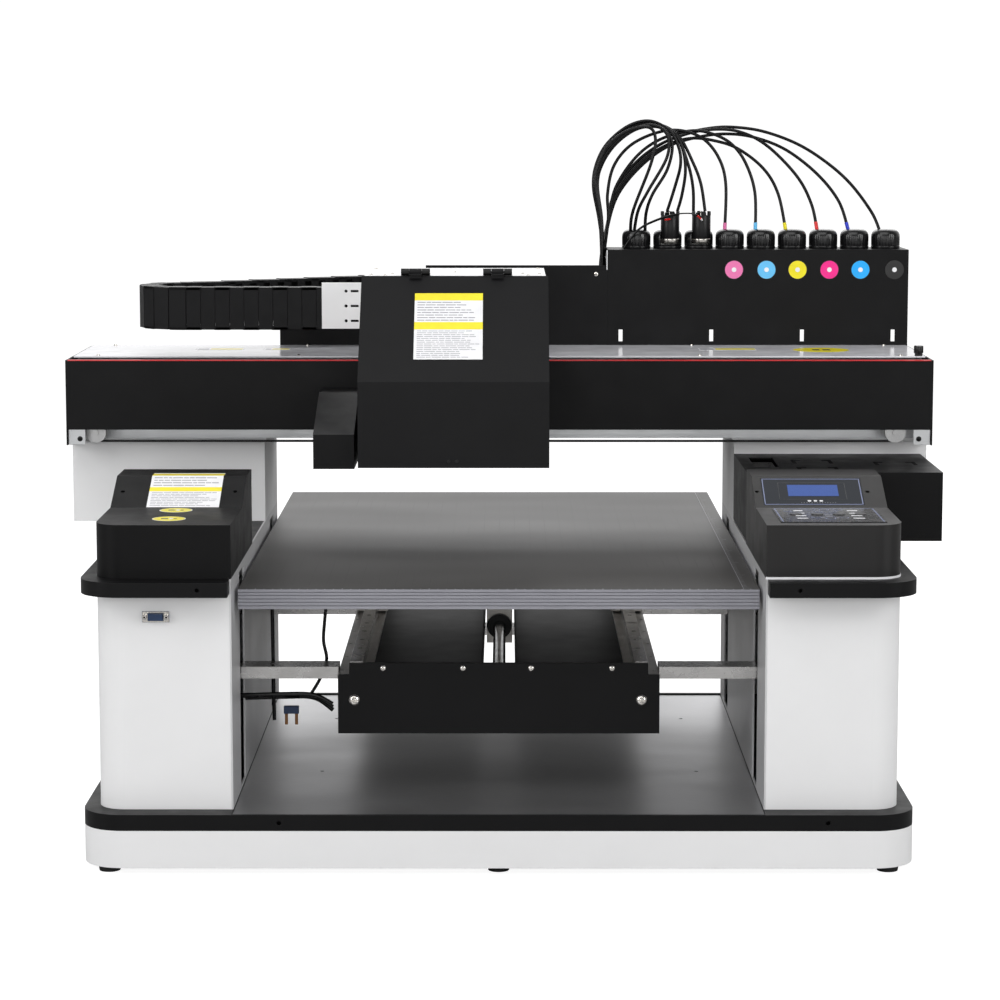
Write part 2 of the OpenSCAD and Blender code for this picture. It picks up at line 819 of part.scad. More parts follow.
// ---------- lift ----------

module lift_guides() {
    color("silver") both_sides() for (y = guide_y) rod_z(guide_r, lift_x, y, [rim_top, shelf_z]);
}

module lift_screw(side) {
    color("silver") rod_z(screw_r, side * lift_x, lift_y, [base_z + sheet + 40.1, shelf_z + 9.5]);
}

module left_lift_screw() { lift_screw(-1); }
module right_lift_screw() { lift_screw(1); }

module crossbars() {
    color("silver") {
        both_sides() for (y = [front_bar_y, rear_bar_y]) difference() {
            slab([bed_half_w, bar_x], y, bar_z);
            for (x = [230, 270, 340]) rod_z(2.6, x, (y[0] + y[1]) / 2, [bar_z[1] - 8, bar_z[1] + 1]);
        }
        for (y = tie_ys) slab([-bed_half_w + 5, bed_half_w - 5], y, [tray_z - 10, tray_z]);
    }
}

// A beam in each column that joins the crossbars' ends and carries the lift nut
module lift_brackets() {
    z = [bar_z[0] - 12, bar_z[0]];
    color("gray") both_sides() difference() {
        union() {
            slab([370, bar_x], [front_bar_y[0], rear_bar_y[1]], z);
            rod_z(16, lift_x, lift_y, [z[0] - 14, z[1]]);
        }
        rod_z(screw_r + run, lift_x, lift_y, [z[0] - 15, z[1] + 1]);
        for (y = guide_y) rod_z(guide_r + run, lift_x, y, [z[0] - 1, z[1] + 1]);
    }
}

// ---------- bed frame ----------

module bed_side_rails() {
    web = [bed_half_w - 5, bed_half_w];
    color("silver") both_sides() {
        slab(web, [bed_y[0] + 5, bed_y[1]], [142, flange_z[0]]);
        difference() {
            slab([150, bed_half_w], [bed_y[0] + 5, bed_y[1]], flange_z);
            for (y = [bed_y[0] + 30:90:bed_y[1] - 10])
                rod_z(2.2, bed_half_w - 4.5, y, [flange_z[0] + 1, flange_z[1] + 1]);
        }
    }
}

module bed_front_plate() {
    notch = [13.5, plate_z[1] - flange_z[1]];
    y = [bed_y[0], bed_y[0] + 5];
    color("black") difference() {
        slab([-bed_half_w, bed_half_w], y, plate_z);
        both_sides() slab([bed_half_w - notch[0], bed_half_w + 1], [y[0] - 1, y[1] + 1],
                          [plate_z[1] - notch[1], plate_z[1] + 1]);
    }
}

module bed_screws() {
    small_r = 3.6;
    large_r = 6.6;
    color("silver") {
        for (x = [-136, -42, 38, 133]) pan_screw_y(x, bed_y[0], plate_z[1] - 6, small_r);
        for (x = [-170, 168]) pan_screw_y(x, bed_y[0], plate_z[1] - 44, large_r);
    }
}

module bed_trays() {
    inner_x = 20;
    outer_x = bed_half_w - 5;
    y = [bed_y[0] + 5, bed_y[1] - 2];
    color("black") both_sides() {
        slab([inner_x, outer_x], y, [tray_z, tray_z + sheet]);
        slab([inner_x, inner_x + sheet], y, [tray_z, tray_z + 36]);
    }
}

module y_rails() {
    color("silver") both_sides() difference() {
        slab([rail_x - y_rail_w / 2, rail_x + y_rail_w / 2], rail_y, [flange_z[1], flange_z[1] + rail_h]);
        for (y = [rail_y[0] + 30:60:rail_y[1]])
            rod_z(3, rail_x, y, [flange_z[1] + rail_h - 4, flange_z[1] + rail_h + 1]);
    }
}

// The ball screw's two bearing blocks and the table motor behind them
module screw_supports() {
    x = [-19, 19];
    blocks = [[bed_y[0] + 5, bed_y[0] + 30], [450, 475]];
    color("dimgray") {
        for (y = blocks) difference() {
            slab(x, y, [tray_z, screw_axis_z + 20]);
            rod_y(screw_r + run, 0, screw_axis_z, [y[0] - 1, y[1] + 1]);
        }
        slab(x, [481, 536], [tray_z, screw_axis_z + 20]);
    }
}

module ball_screw() {
    color("silver") rod_y(screw_r, 0, screw_axis_z, [bed_y[0] + 10, 480.5]);
}

// ---------- table ----------

module table_top() {
    groove = 1.2;
    groove_zs = [4, 8, 12, 16, 19.5];
    color("dimgray") difference() {
        slab([-table_w / 2, table_w / 2], table_y, [table_h - table_t, table_h]);
        for (z = groove_zs, y = [table_y[0] - 1, table_y[1] - groove])
            slab([-table_w / 2 - 1, table_w / 2 + 1], [y, y + groove + 1],
                 [table_h - table_t + z - 0.5, table_h - table_t + z + 0.5]);
    }
}

// Rail blocks, bearers, cross beam and ball nut under the table
module table_underframe() {
    under = table_h - table_t;
    block_x = [rail_x - 20, rail_x + 20];
    color("silver") {
        both_sides() for (y = block_ys) difference() {
            slab(block_x, [y - block_half, y + block_half], block_z);
            slab([rail_x - y_rail_w / 2 - gap, rail_x + y_rail_w / 2 + gap],
                 [y - block_half - 1, y + block_half + 1],
                 [block_z[0] - 1, flange_z[1] + rail_h + gap]);
        }
        both_sides() slab(block_x, [block_ys[0] - block_half, block_ys[1] + block_half],
                          [block_z[1], under]);
        slab([-block_x[0], block_x[0]], nut_y, [block_z[1], under]);
        difference() {
            union() {
                slab([-17, 17], nut_y, [tray_z + 1.5, block_z[1]]);
                rod_y(16, 0, screw_axis_z, [nut_y[0] - 8, nut_y[0]]);
            }
            rod_y(screw_r + run, 0, screw_axis_z, [nut_y[0] - 9, nut_y[1] + 1]);
        }
    }
}

// ---------- carriage ----------

// The side outline of the carriage frame: it hangs in front of the gantry and reaches over it
frame_front = cover_front + 9;
frame_back_y = -75;
frame_arm_z = 556;
frame_outline = [
    [frame_front, 446], [frame_back_y, 446], [frame_back_y, frame_arm_z],
    [carriage_back, frame_arm_z], [carriage_back, carriage_top],
    [plate_front, carriage_top], [frame_front, crease_z + 3]
];

function head_x(i) = -118 + i * 42;

// The cut-out in the floor plate that each print head drops through
module head_openings(y, z) {
    for (i = [0:head_count - 1])
        slab([head_x(i) - head_half_w, head_x(i) + head_half_w], y, z);
}

module carriage_frame() {
    wall = 3;
    floor_z = 470;
    slider_x = [-115, 5];
    slider_y = [-12, 20];
    slider_half_h = 24;
    hanger_z = [480, frame_arm_z + 1];
    clamp_x = [-70, -40];
    lamp_plate_z = [450, 500];
    color("whitesmoke") {
        for (x = [[frame_x[0], frame_x[0] + wall], [frame_x[1] - wall, frame_x[1]]])
            side_profile(x, frame_outline);
        slab(frame_x, [plate_front, carriage_back], [carriage_top - wall, carriage_top]);
        slab(frame_x, [frame_back_y - wall, carriage_back], [frame_arm_z, frame_arm_z + wall]);
        slab([lamp_x[0] + 10, frame_x[1]], [frame_back_y, frame_back_y + wall], lamp_plate_z);
        slab(frame_x, [frame_back_y - wall, frame_back_y], [446, frame_arm_z + wall]);
        difference() {
            slab(frame_x, [frame_front, frame_back_y], [floor_z, floor_z + wall]);
            head_openings(head_y, [floor_z - 1, floor_z + wall + 1]);
        }
        slab([slider_x[0] - 5, slider_x[1] + 5], [slider_y[0] - 10, slider_y[0]], hanger_z);
        slab(clamp_x, [belt_y[0], slider_y[0]], [pulley_z + pulley_r + 3.3, hanger_z[0] + 1]);
        difference() {
            slab(slider_x, slider_y, [x_rail_z - slider_half_h, x_rail_z + slider_half_h]);
            slab([slider_x[0] - 1, slider_x[1] + 1], [x_rail_y[0] - gap, slider_y[1] + 1],
                 [x_rail_z - rail_w / 2 - gap, x_rail_z + rail_w / 2 + gap]);
        }
    }
}

module print_heads() {
    nozzle_z = [440, 446];
    color("gray") {
        head_openings(head_y, [nozzle_z[1], 520]);
        for (i = [0:head_count - 1])
            slab([head_x(i) - 12, head_x(i) + 12], [head_y[0] + 10, head_y[1] - 10], nozzle_z);
    }
}

module uv_lamp() {
    color("black") side_profile(lamp_x, [
        [-256, 434], [-75, 434], [-75, 516], [-131, 516], [-256, 476]
    ]);
}

// A round bar on the hinge line
module hinge_rod(r, x, length) {
    translate([x, hinge_y, hinge_z]) rotate([0, 90, 0]) cylinder(r = r, h = length);
}

// Hinge leaves on the top plate, with a pin between two knuckles
module cover_hinges() {
    color("black") for (x = hinge_xs) {
        slab([x, x + hinge_w], [hinge_y + hinge_r + 0.5, hinge_y + 22], [carriage_top, carriage_top + 2]);
        for (k = [x, x + hinge_w - knuckle]) difference() {
            union() {
                hinge_rod(hinge_r, k, knuckle);
                slab([k, k + knuckle], [hinge_y, hinge_y + hinge_r + 1], [carriage_top, carriage_top + 2]);
            }
            hinge_rod(pin_r + run, k - 1, knuckle + 2);
        }
    }
}

// A folded hood: front, slope, two cheeks and the knuckles of its hinges with their pins
module carriage_cover() {
    top = [hinge_y - 4, carriage_top];
    t = sheet;
    color("black") {
        side_profile(cover_x, [
            [cover_front, cover_z], [cover_front + t, cover_z], [cover_front + t, crease_z - 1],
            [top[0], top[1] - 1.4 * t], [top[0], top[1]], [cover_front, crease_z]
        ]);
        slab(cover_x, [cover_front, cover_front + 12], [cover_z, cover_z + t]);
        for (x = [[cover_x[0], cover_x[0] + t], [cover_x[1] - t, cover_x[1]]])
            side_profile(x, [
                [cover_front, cover_z], [cover_back, cover_z], [cover_back, 600],
                [top[0], top[1]], [cover_front, crease_z]
            ]);
        for (x = hinge_xs) {
            leaf = [x + knuckle + 0.3, x + hinge_w - knuckle - 0.3];
            hinge_rod(pin_r, x, hinge_w);
            hinge_rod(hinge_r, leaf[0], leaf[1] - leaf[0]);
            slab(leaf, [top[0] - 8, hinge_y], [carriage_top + 0.6, carriage_top + 2.6]);
            slab(leaf, [top[0] - 3, top[0]], [carriage_top - 3, carriage_top + 1]);
        }
    }
}

base_shell();
base_rim();
deck_plate();
feet();
column_shells();
column_liners();
column_shelves();
left_console();
right_console();
display_module();
keypad_panel();
key_left();
key_up();
key_down();
key_right();
data_connector();
gantry_supports();
gantry_beam();
gantry_front_panel();
gantry_top_cover();
gantry_end_plates();
gantry_screws();
x_rail();
drive_belt();
left_pulley();
right_pulley();
drive_motors();
rear_panel();
chain_back_run();
chain_loop();
chain_front_run();
chain_bracket();
ink_rack();
ink_bottles();
bottle_caps();
stirrer_motors();
left_stirrer();
right_stirrer();
ink_tubes();
cap_station_housing();
cap_station();
lift_guides();
left_lift_screw();
right_lift_screw();
crossbars();
lift_brackets();
bed_side_rails();
bed_front_plate();
bed_screws();
bed_trays();
y_rails();
screw_supports();
ball_screw();
table_top();
table_underframe();
carriage_frame();
print_heads();
uv_lamp();
cover_hinges();
carriage_cover();
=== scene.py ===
import math
import random

import bmesh
import bpy
from mathutils import Matrix, Vector


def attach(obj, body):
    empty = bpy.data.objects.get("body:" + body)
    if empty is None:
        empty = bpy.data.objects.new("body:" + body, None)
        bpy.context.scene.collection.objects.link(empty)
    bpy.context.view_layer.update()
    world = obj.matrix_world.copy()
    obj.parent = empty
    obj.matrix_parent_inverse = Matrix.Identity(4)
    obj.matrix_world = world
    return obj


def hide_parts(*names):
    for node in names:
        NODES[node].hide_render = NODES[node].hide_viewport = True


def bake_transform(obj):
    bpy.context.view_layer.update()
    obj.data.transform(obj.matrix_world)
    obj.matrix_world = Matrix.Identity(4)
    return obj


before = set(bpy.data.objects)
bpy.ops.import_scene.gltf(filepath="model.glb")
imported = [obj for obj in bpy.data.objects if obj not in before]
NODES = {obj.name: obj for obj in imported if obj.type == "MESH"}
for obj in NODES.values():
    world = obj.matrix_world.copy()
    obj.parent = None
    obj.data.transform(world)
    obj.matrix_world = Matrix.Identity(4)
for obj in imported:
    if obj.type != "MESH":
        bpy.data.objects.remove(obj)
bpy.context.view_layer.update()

MM = 0.001  # lengths below are in millimetres, in the CAD frame
SHARP = math.radians(35)


# ---------- camera, lights and floor ----------

def add_camera():
    """The photograph's viewpoint: a long lens at the operator's side, tilted slightly down."""
    data = bpy.data.cameras.new("camera")
    data.sensor_width = 36
    data.lens = 107.28
    data.clip_end = 100
    camera = bpy.data.objects.new("camera", data)
    camera.location = (0.00724, -3.8554, 0.85756)
    camera.rotation_euler = [math.radians(a) for a in (82.6952, 0, 0.096)]
    bpy.context.scene.collection.objects.link(camera)
    bpy.context.scene.camera = camera


def add_softbox(name, place, target, size, watts):
    """A white rectangular lamp that faces target and that the camera doesn't see."""
    data = bpy.data.lights.new(name, "AREA")
    data.shape = "RECTANGLE"
    data.size, data.size_y = size
    data.energy = watts
    lamp = bpy.data.objects.new(name, data)
    lamp.location = place
    lamp.rotation_euler = (Vector(target) - Vector(place)).to_track_quat("-Z", "Y").to_euler()
    lamp.visible_camera = False
    bpy.context.scene.collection.objects.link(lamp)


def add_lights():
    """Soft boxes above, at both sides, behind the camera and behind the machine."""
    add_softbox("key", (-0.4, -1.6, 3.0), (0, 0, 0.3), (3.4, 2.6), 56)
    for name, side in (("left", -1), ("right", 1)):
        add_softbox(name, (side * 2.9, -2.2, 1.5), (0, -0.2, 0.35), (1.6, 2.2), 50)
    add_softbox("front", (0, -4.3, 0.9), (0, 0, 0.3), (3.6, 1.4), 32)
    add_softbox("rear", (0.3, 2.8, 2.2), (0, 0.3, 0.3), (3.0, 1.6), 30)


def add_world():
    """White all round for the camera. What lights the object is bright behind it, dim in front."""
    world = bpy.data.worlds.new("studio")
    bpy.context.scene.world = world
    world.use_nodes = True
    tree = world.node_tree
    tree.nodes.clear()
    coords = tree.nodes.new("ShaderNodeTexCoord")
    split = tree.nodes.new("ShaderNodeSeparateXYZ")
    ramp = tree.nodes.new("ShaderNodeMapRange")
    ramp.interpolation_type = "SMOOTHSTEP"
    for key, value in (("From Min", -0.25), ("From Max", 0.75), ("To Min", 0.10), ("To Max", 1.0)):
        ramp.inputs[key].default_value = value
    dim, white = tree.nodes.new("ShaderNodeBackground"), tree.nodes.new("ShaderNodeBackground")
    white.inputs["Strength"].default_value = 1.05
    for node in (dim, white):
        node.inputs["Color"].default_value = (1, 1, 1, 1)
    path = tree.nodes.new("ShaderNodeLightPath")
    mix = tree.nodes.new("ShaderNodeMixShader")
    out = tree.nodes.new("ShaderNodeOutputWorld")
    link = tree.links.new
    link(coords.outputs["Generated"], split.inputs[0])
    link(split.outputs["Y"], ramp.inputs["Value"])
    link(ramp.outputs["Result"], dim.inputs["Strength"])
    link(path.outputs["Is Camera Ray"], mix.inputs[0])
    link(dim.outputs[0], mix.inputs[1])
    link(white.outputs[0], mix.inputs[2])
    link(mix.outputs[0], out.inputs[0])


def add_floor():
    """A pale floor that the machine stands on. It isn't part of the object."""
    bm = bmesh.new()
    bmesh.ops.create_grid(bm, x_segments=2, y_segments=2, size=30)
    mesh = bpy.data.meshes.new("studio_floor")
    bm.to_mesh(mesh)
    bm.free()
    floor = bpy.data.objects.new("studio_floor", mesh)
    bpy.context.scene.collection.objects.link(floor)
    material = bpy.data.materials.new("studio_floor")
    material.use_nodes = True
    nodes, links = material.node_tree.nodes, material.node_tree.links
    shader = nodes["Principled BSDF"]
    shader.inputs["Base Color"].default_value = (0.4, 0.4, 0.4, 1)
    shader.inputs["Roughness"].default_value = 1.0
    shader.inputs["Specular IOR Level"].default_value = 0.0
    shader.inputs["Emission Color"].default_value = (1, 1, 1, 1)
    path = nodes.new("ShaderNodeLightPath")
    glow = nodes.new("ShaderNodeMath")
    glow.operation = "MULTIPLY"
    glow.inputs[1].default_value = 0.9
    links.new(path.outputs["Is Camera Ray"], glow.inputs[0])
    links.new(glow.outputs[0], shader.inputs["Emission Strength"])
    mesh.materials.append(material)


# ---------- materials ----------

class Shader:
    """A principled material whose colour, roughness and bump come from noise in object coordinates."""

    def __init__(self, name, metallic=0.0, specular=0.5):
        self.material = bpy.data.materials.new(name)
        self.material.use_nodes = True
        self.tree = self.material.node_tree
        self.bsdf = self.tree.nodes["Principled BSDF"]
        self.bsdf.inputs["Metallic"].default_value = metallic
        self.bsdf.inputs["Specular IOR Level"].default_value = specular
        self.coords = self.tree.nodes.new("ShaderNodeTexCoord").outputs["Object"]

    def node(self, kind, **values):
        made = self.tree.nodes.new(kind)
        for key, value in values.items():
            made.inputs[key].default_value = value
        return made

    def link(self, a, b):
        self.tree.links.new(a, b)

    def noise(self, size, stretch=(1, 1, 1), detail=4.0):
        """Noise from 0 to 1. Its features are about size millimetres, and longer where stretch is above 1."""
        mapping = self.node("ShaderNodeMapping")
        mapping.inputs["Scale"].default_value = [1 / (size * MM * s) for s in stretch]
        made = self.node("ShaderNodeTexNoise", Scale=1.0, Detail=detail, Roughness=0.55)
        self.link(self.coords, mapping.inputs["Vector"])
        self.link(mapping.outputs[0], made.inputs["Vector"])
        return made.outputs["Fac"]

    def spread(self, value, low, high, start=0.3, end=0.7):
        """Maps value's range from start to end onto low to high."""
        ramp = self.node("ShaderNodeMapRange")
        for key, number in (("From Min", start), ("From Max", end), ("To Min", low), ("To Max", high)):
            ramp.inputs[key].default_value = number
        self.link(value, ramp.inputs["Value"])
        return ramp.outputs["Result"]

    def mix(self, factor, a, b):
        """A colour between a and b. Each is a colour or a socket."""
        made = self.tree.nodes.new("ShaderNodeMix")
        made.data_type = "RGBA"
        self.link(factor, made.inputs["Factor"])
        for socket, colour in ((made.inputs["A"], a), (made.inputs["B"], b)):
            if isinstance(colour, (tuple, list)):
                socket.default_value = (*colour, 1)
            else:
                self.link(colour, socket)
        return made.outputs["Result"]

    def colour(self, value):
        self.link(value, self.bsdf.inputs["Base Color"])

    def rough(self, value):
        self.link(value, self.bsdf.inputs["Roughness"])

    def bump(self, height, depth, edge=0.0):
        """Bump of depth millimetres, over edges rounded to a radius of edge millimetres."""
        bump = self.node("ShaderNodeBump", Strength=1.0, Distance=depth * MM)
        self.link(height, bump.inputs["Height"])
        if edge:
            bevel = self.node("ShaderNodeBevel", Radius=edge * MM)
            bevel.samples = 4
            self.link(bevel.outputs[0], bump.inputs["Normal"])
        self.link(bump.outputs[0], self.bsdf.inputs["Normal"])


def tint(colour, k):
    """The colour, k times as bright."""
    return tuple(min(1.0, c * k) for c in colour)


def powder_coat(name, colour, rough=(0.38, 0.52), grain=0.9, depth=0.012, edge=0.9, specular=0.5,
                variation=0.12):
    """Paint baked onto sheet metal: an orange-peel grain, and faint patches of handling."""
    s = Shader(name, specular=specular)
    patches = s.noise(90, detail=3.0)
    s.colour(s.mix(s.spread(patches, 0, 1), tint(colour, 1 - variation), tint(colour, 1 + variation)))
    s.rough(s.spread(s.noise(35), *rough))
    s.bump(s.noise(grain, detail=2.0), depth, edge)
    return s.material


def metal(name, colour, rough, streak=(1, 1, 1), size=0.6, depth=0.004, edge=0.4, variation=0.15,
          metallic=1.0, patch=60):
    """Bare, ground or anodised metal, with long streaks along the axis where streak is large."""
    s = Shader(name, metallic=metallic)
    lines = s.noise(size, streak, detail=3.0)
    patches = s.noise(patch, detail=4.0)
    shade = s.mix(s.spread(lines, 0, 1), tint(colour, 1 - variation), tint(colour, 1 + variation))
    s.colour(s.mix(s.spread(patches, 0, 0.35), shade, tint(colour, 1 - 2 * variation)))
    s.rough(s.spread(s.noise(patch * 0.4, detail=5.0), *rough))
    s.bump(lines, depth, edge)
    return s.material


def moulded(name, colour, rough=(0.35, 0.5), grain=0.35, depth=0.01, edge=0.4, specular=0.5):
    """Moulded plastic or rubber with a fine spark-eroded texture."""
    s = Shader(name, specular=specular)
    s.colour(s.mix(s.spread(s.noise(25), 0, 1), tint(colour, 0.85), tint(colour, 1.15)))
    s.rough(s.spread(s.noise(12), *rough))
    s.bump(s.noise(grain, detail=2.0), depth, edge)
    return s.material


def printed(name, colour):
    """Printed vinyl film."""
    s = Shader(name)
    s.colour(s.mix(s.spread(s.noise(18), 0, 1), tint(colour, 0.94), tint(colour, 1.03)))
    s.rough(s.spread(s.noise(9), 0.3, 0.4))
    s.bump(s.noise(2.0), 0.01)
    return s.material


def deck_sheet():
    """The satin steel deck: grey sheet with soft smudges and a fine grain across."""
    s = Shader("deck_sheet", metallic=1.0)
    base = s.mix(s.spread(s.noise(3, (6, 1, 1)), 0, 1), (0.46, 0.46, 0.47), (0.50, 0.50, 0.51))
    s.colour(s.mix(s.spread(s.noise(120, (2, 1, 1), detail=3.0), 0, 0.3), base, (0.42, 0.42, 0.43)))
    s.rough(s.spread(s.noise(110, (2, 1, 1), detail=2.0), 0.36, 0.42))
    s.bump(s.noise(1.5, (8, 1, 1)), 0.0012, 0.3)
    return s.material


def table_face_with_painted_light():
    """An anodised plate: brown-grey on top with a faint grain across, and sides painted paler by which way
    they face, as painted light.
    """
    s = Shader("table_anodised", metallic=0.35, specular=0.35)
    grain = s.noise(1.2, (30, 1, 1), detail=3.0)
    stains = s.noise(240, (2.2, 1, 1), detail=1.0)
    top = s.mix(s.spread(grain, 0, 1), (0.031, 0.0295, 0.028), (0.035, 0.033, 0.0315))
    top = s.mix(s.spread(stains, 0, 0.4), top, (0.034, 0.029, 0.025))
    # painted light: the sides take a paler copy of the plate's colour
    side = s.mix(s.spread(grain, 0, 1), (0.26, 0.26, 0.29), (0.31, 0.31, 0.345))
    normal = s.node("ShaderNodeNewGeometry").outputs["Normal"]
    split = s.node("ShaderNodeSeparateXYZ")
    s.link(normal, split.inputs[0])
    # which way a face points picks its colour: the dark top, or the paler painted-light sides
    s.colour(s.mix(s.spread(split.outputs["Z"], 0, 1, 0.4, 0.8), side, top))
    s.rough(s.spread(s.noise(160, (2, 1, 1), detail=1.0), 0.44, 0.5))
    s.bump(s.noise(0.5, (10, 1, 1)), 0.003, 0.5)
    return s.material


def display_glass(name, colour, glow, strength):
    """A lit panel behind glass, with a faint mottle."""
    s = Shader(name, specular=0.25)
    cells = s.noise(1.4, detail=1.0)
    s.colour(s.mix(s.spread(cells, 0, 1), tint(colour, 0.9), tint(colour, 1.1)))
    s.rough(s.spread(s.noise(20), 0.08, 0.16))
    s.link(s.mix(s.spread(cells, 0, 1), tint(glow, 0.85), glow), s.bsdf.inputs["Emission Color"])
    s.bsdf.inputs["Emission Strength"].default_value = strength
    return s.material


# The colour of each printed film
PRINTED = {
    "red_strip": (0.62, 0.012, 0.018),
    "label_white": (0.82, 0.82, 0.84),
    "label_yellow": (0.86, 0.74, 0.02),
    "label_grey": (0.30, 0.30, 0.33),
    "label_dark": (0.06, 0.06, 0.06),
    "frame_line": (0.16, 0.19, 0.32),
    "ink_pink": (0.80, 0.17, 0.42),
    "ink_sky": (0.12, 0.52, 0.88),
    "ink_yellow": (0.86, 0.74, 0.0),
    "ink_magenta": (0.88, 0.005, 0.25),
    "ink_cyan": (0.0, 0.40, 0.95),
    "ink_black": (0.006, 0.006, 0.006),
    "sleeve_red": (0.70, 0.01, 0.01),
    "lead_brown": (0.22, 0.09, 0.015),
    "sleeve_blue": (0.01, 0.03, 0.55),
}


def make_materials():
    """Every material by the name that NODE_MATERIALS and the pieces use."""
    along_x, along_y, along_z = (40, 1, 1), (1, 40, 1), (1, 1, 40)
    materials = {
        "white_paint": powder_coat("white_powder_coat", (0.80, 0.80, 0.805), (0.42, 0.55), depth=0.015,
                                   variation=0.015),
        "black_paint": powder_coat("black_powder_coat", (0.0038, 0.0038, 0.0042), (0.38, 0.5),
                                   specular=0.16),
        "cover_paint": powder_coat("cover_powder_coat", (0.0045, 0.0045, 0.0051), (0.42, 0.5),
                                   specular=0.19),
        "console_paint": powder_coat("console_powder_coat", (0.008, 0.0074, 0.0074), (0.38, 0.46),
                                     specular=0.36),
        "left_paint": powder_coat("left_powder_coat", (0.0042, 0.0042, 0.0045), (0.4, 0.5), specular=0.13),
        "tray_paint": powder_coat("tray_paint", (0.0030, 0.0030, 0.0034), (0.56, 0.6), specular=0.06),
        "grey_paint": powder_coat("grey_powder_coat", (0.84, 0.84, 0.88), (0.12, 0.2), depth=0.004,
                                  variation=0.03),
        "deck": deck_sheet(),
        "liner_metal": metal("liner_sheet", (0.65, 0.65, 0.66), (0.36, 0.44), along_z, size=0.4,
                             depth=0.0012, variation=0.03, patch=160, metallic=0.5),
        "table": table_face_with_painted_light(),
        "bed_metal": metal("bed_extrusion", (0.52, 0.50, 0.47), (0.28, 0.42), along_y),
        "beam_metal": metal("beam_extrusion", (0.58, 0.59, 0.60), (0.28, 0.4), along_x, variation=0.06),
        "rail_x": metal("ground_steel_x", (0.58, 0.57, 0.56), (0.18, 0.34), along_x, variation=0.12),
        "rail_y": metal("ground_steel_y", (0.56, 0.55, 0.54), (0.16, 0.3), along_y, variation=0.12),
        "rail_z": metal("ground_steel_z", (0.6, 0.6, 0.6), (0.14, 0.26), along_z, variation=0.1),
        "head_metal": metal("head_steel", (0.5, 0.5, 0.5), (0.25, 0.4)),
        "screw_steel": metal("plated_steel", (0.78, 0.75, 0.70), (0.1, 0.22), edge=0.25),
        "screw_black": metal("oiled_steel", (0.05, 0.05, 0.055), (0.12, 0.25), along_y, metallic=0.8),
        "motor_paint": powder_coat("motor_paint", (0.02, 0.02, 0.022), (0.35, 0.5)),
        "motor_black": powder_coat("motor_black", (0.004, 0.004, 0.0045), (0.32, 0.42), specular=0.3),
        "hinge_black": moulded("hinge_black", (0.004, 0.004, 0.004), (0.32, 0.45), specular=0.3),
        "cap_plastic": moulded("cap_plastic", (0.005, 0.005, 0.0055), (0.18, 0.28), depth=0.004),
        "bottle_plastic": moulded("bottle_plastic", (0.72, 0.72, 0.68), (0.3, 0.45)),
        "chain_plastic": moulded("chain_plastic", (0.0042, 0.0042, 0.0048), (0.4, 0.52), specular=0.18),
        "tube_plastic": moulded("tube_plastic", (0.0022, 0.0022, 0.0026), (0.24, 0.32), grain=6, depth=0.002,
                                edge=0, specular=0.25),
        "seal_rubber": moulded("seal_rubber", (0.02, 0.02, 0.02), (0.6, 0.8)),
        "belt_rubber": moulded("belt_rubber", (0.012, 0.012, 0.012), (0.6, 0.8)),
        "foot_rubber": moulded("foot_rubber", (0.008, 0.008, 0.008), (0.55, 0.75)),
        "display_window": display_glass("display_window", (0.004, 0.006, 0.010), (0.01, 0.02, 0.04), 0.15),
        "display_lit": display_glass("display_lit", (0.02, 0.05, 0.16), (0.045, 0.10, 0.42), 0.45),
        "keypad_film": moulded("keypad_film", (0.012, 0.012, 0.014), (0.2, 0.34)),
        "key_plastic": moulded("key_plastic", (0.05, 0.05, 0.052), (0.3, 0.45)),
        "connector_blue": moulded("connector_blue", (0.006, 0.028, 0.085), (0.4, 0.5)),
        "ruling_dark": moulded("ruling_dark", (0.024, 0.023, 0.022), (0.45, 0.5), specular=0.35),
        # painted shade: a black material put where holes, slots and recesses fall in shade
        "painted_hole_shade": moulded("painted_hole_shade", (0.002, 0.002, 0.002), (0.7, 0.9), specular=0.1),
    }
    for name, colour in PRINTED.items():
        materials[name] = printed(name, colour)
    return materials


NODE_MATERIALS = {
    "white_paint": ["base_shell", "column_shells", "gantry_supports", "chain_bracket", "carriage_frame"],
    "black_paint": ["base_rim", "column_shelves", "gantry_front_panel", "gantry_end_plates", "rear_panel",
                    "ink_rack", "uv_lamp", "bed_front_plate"],
    "left_paint": ["left_console", "cap_station_housing"],
    "cover_paint": ["carriage_cover"],
    "console_paint": ["right_console"],
    "tray_paint": ["bed_trays"],
    "grey_paint": ["gantry_top_cover"],
    "deck": ["deck_plate"],
    "liner_metal": ["column_liners"],
    "table": ["table_top"],
    "bed_metal": ["bed_side_rails", "table_underframe"],
    "beam_metal": ["gantry_beam", "lift_brackets"],
    "rail_x": ["crossbars", "x_rail"],
    "rail_y": ["y_rails"],
    "rail_z": ["lift_guides", "left_lift_screw", "right_lift_screw"],
    "head_metal": ["print_heads", "left_pulley", "right_pulley"],
    "screw_steel": ["gantry_screws", "bed_screws", "left_stirrer", "right_stirrer"],
    "screw_black": ["ball_screw"],
    "motor_paint": ["drive_motors", "screw_supports"],
    "hinge_black": ["cover_hinges"],
    "bottle_plastic": ["ink_bottles"],
    "seal_rubber": ["cap_station"],
    "belt_rubber": ["drive_belt"],
    "foot_rubber": ["feet"],
    "display_window": ["display_module"],
    "keypad_film": ["keypad_panel"],
    "key_plastic": ["key_left", "key_up", "key_down", "key_right"],
    "connector_blue": ["data_connector"],
}


def paint_nodes():
    """Gives each CAD node that stays visible its material."""
    for name, nodes in NODE_MATERIALS.items():
        for node in nodes:
            for slot in NODES[node].material_slots:
                slot.material = MATERIALS[name]


# ---------- building meshes ----------

def ribbed(radius, height, angle, ribs):
    """The radius of a turned wall. ribs = (count, depth, low, high) cuts grooves between two heights."""
    if ribs and ribs[2] <= height <= ribs[3]:
        radius -= ribs[1] * (0.5 - 0.5 * math.cos(angle * ribs[0])) ** 2
    return radius


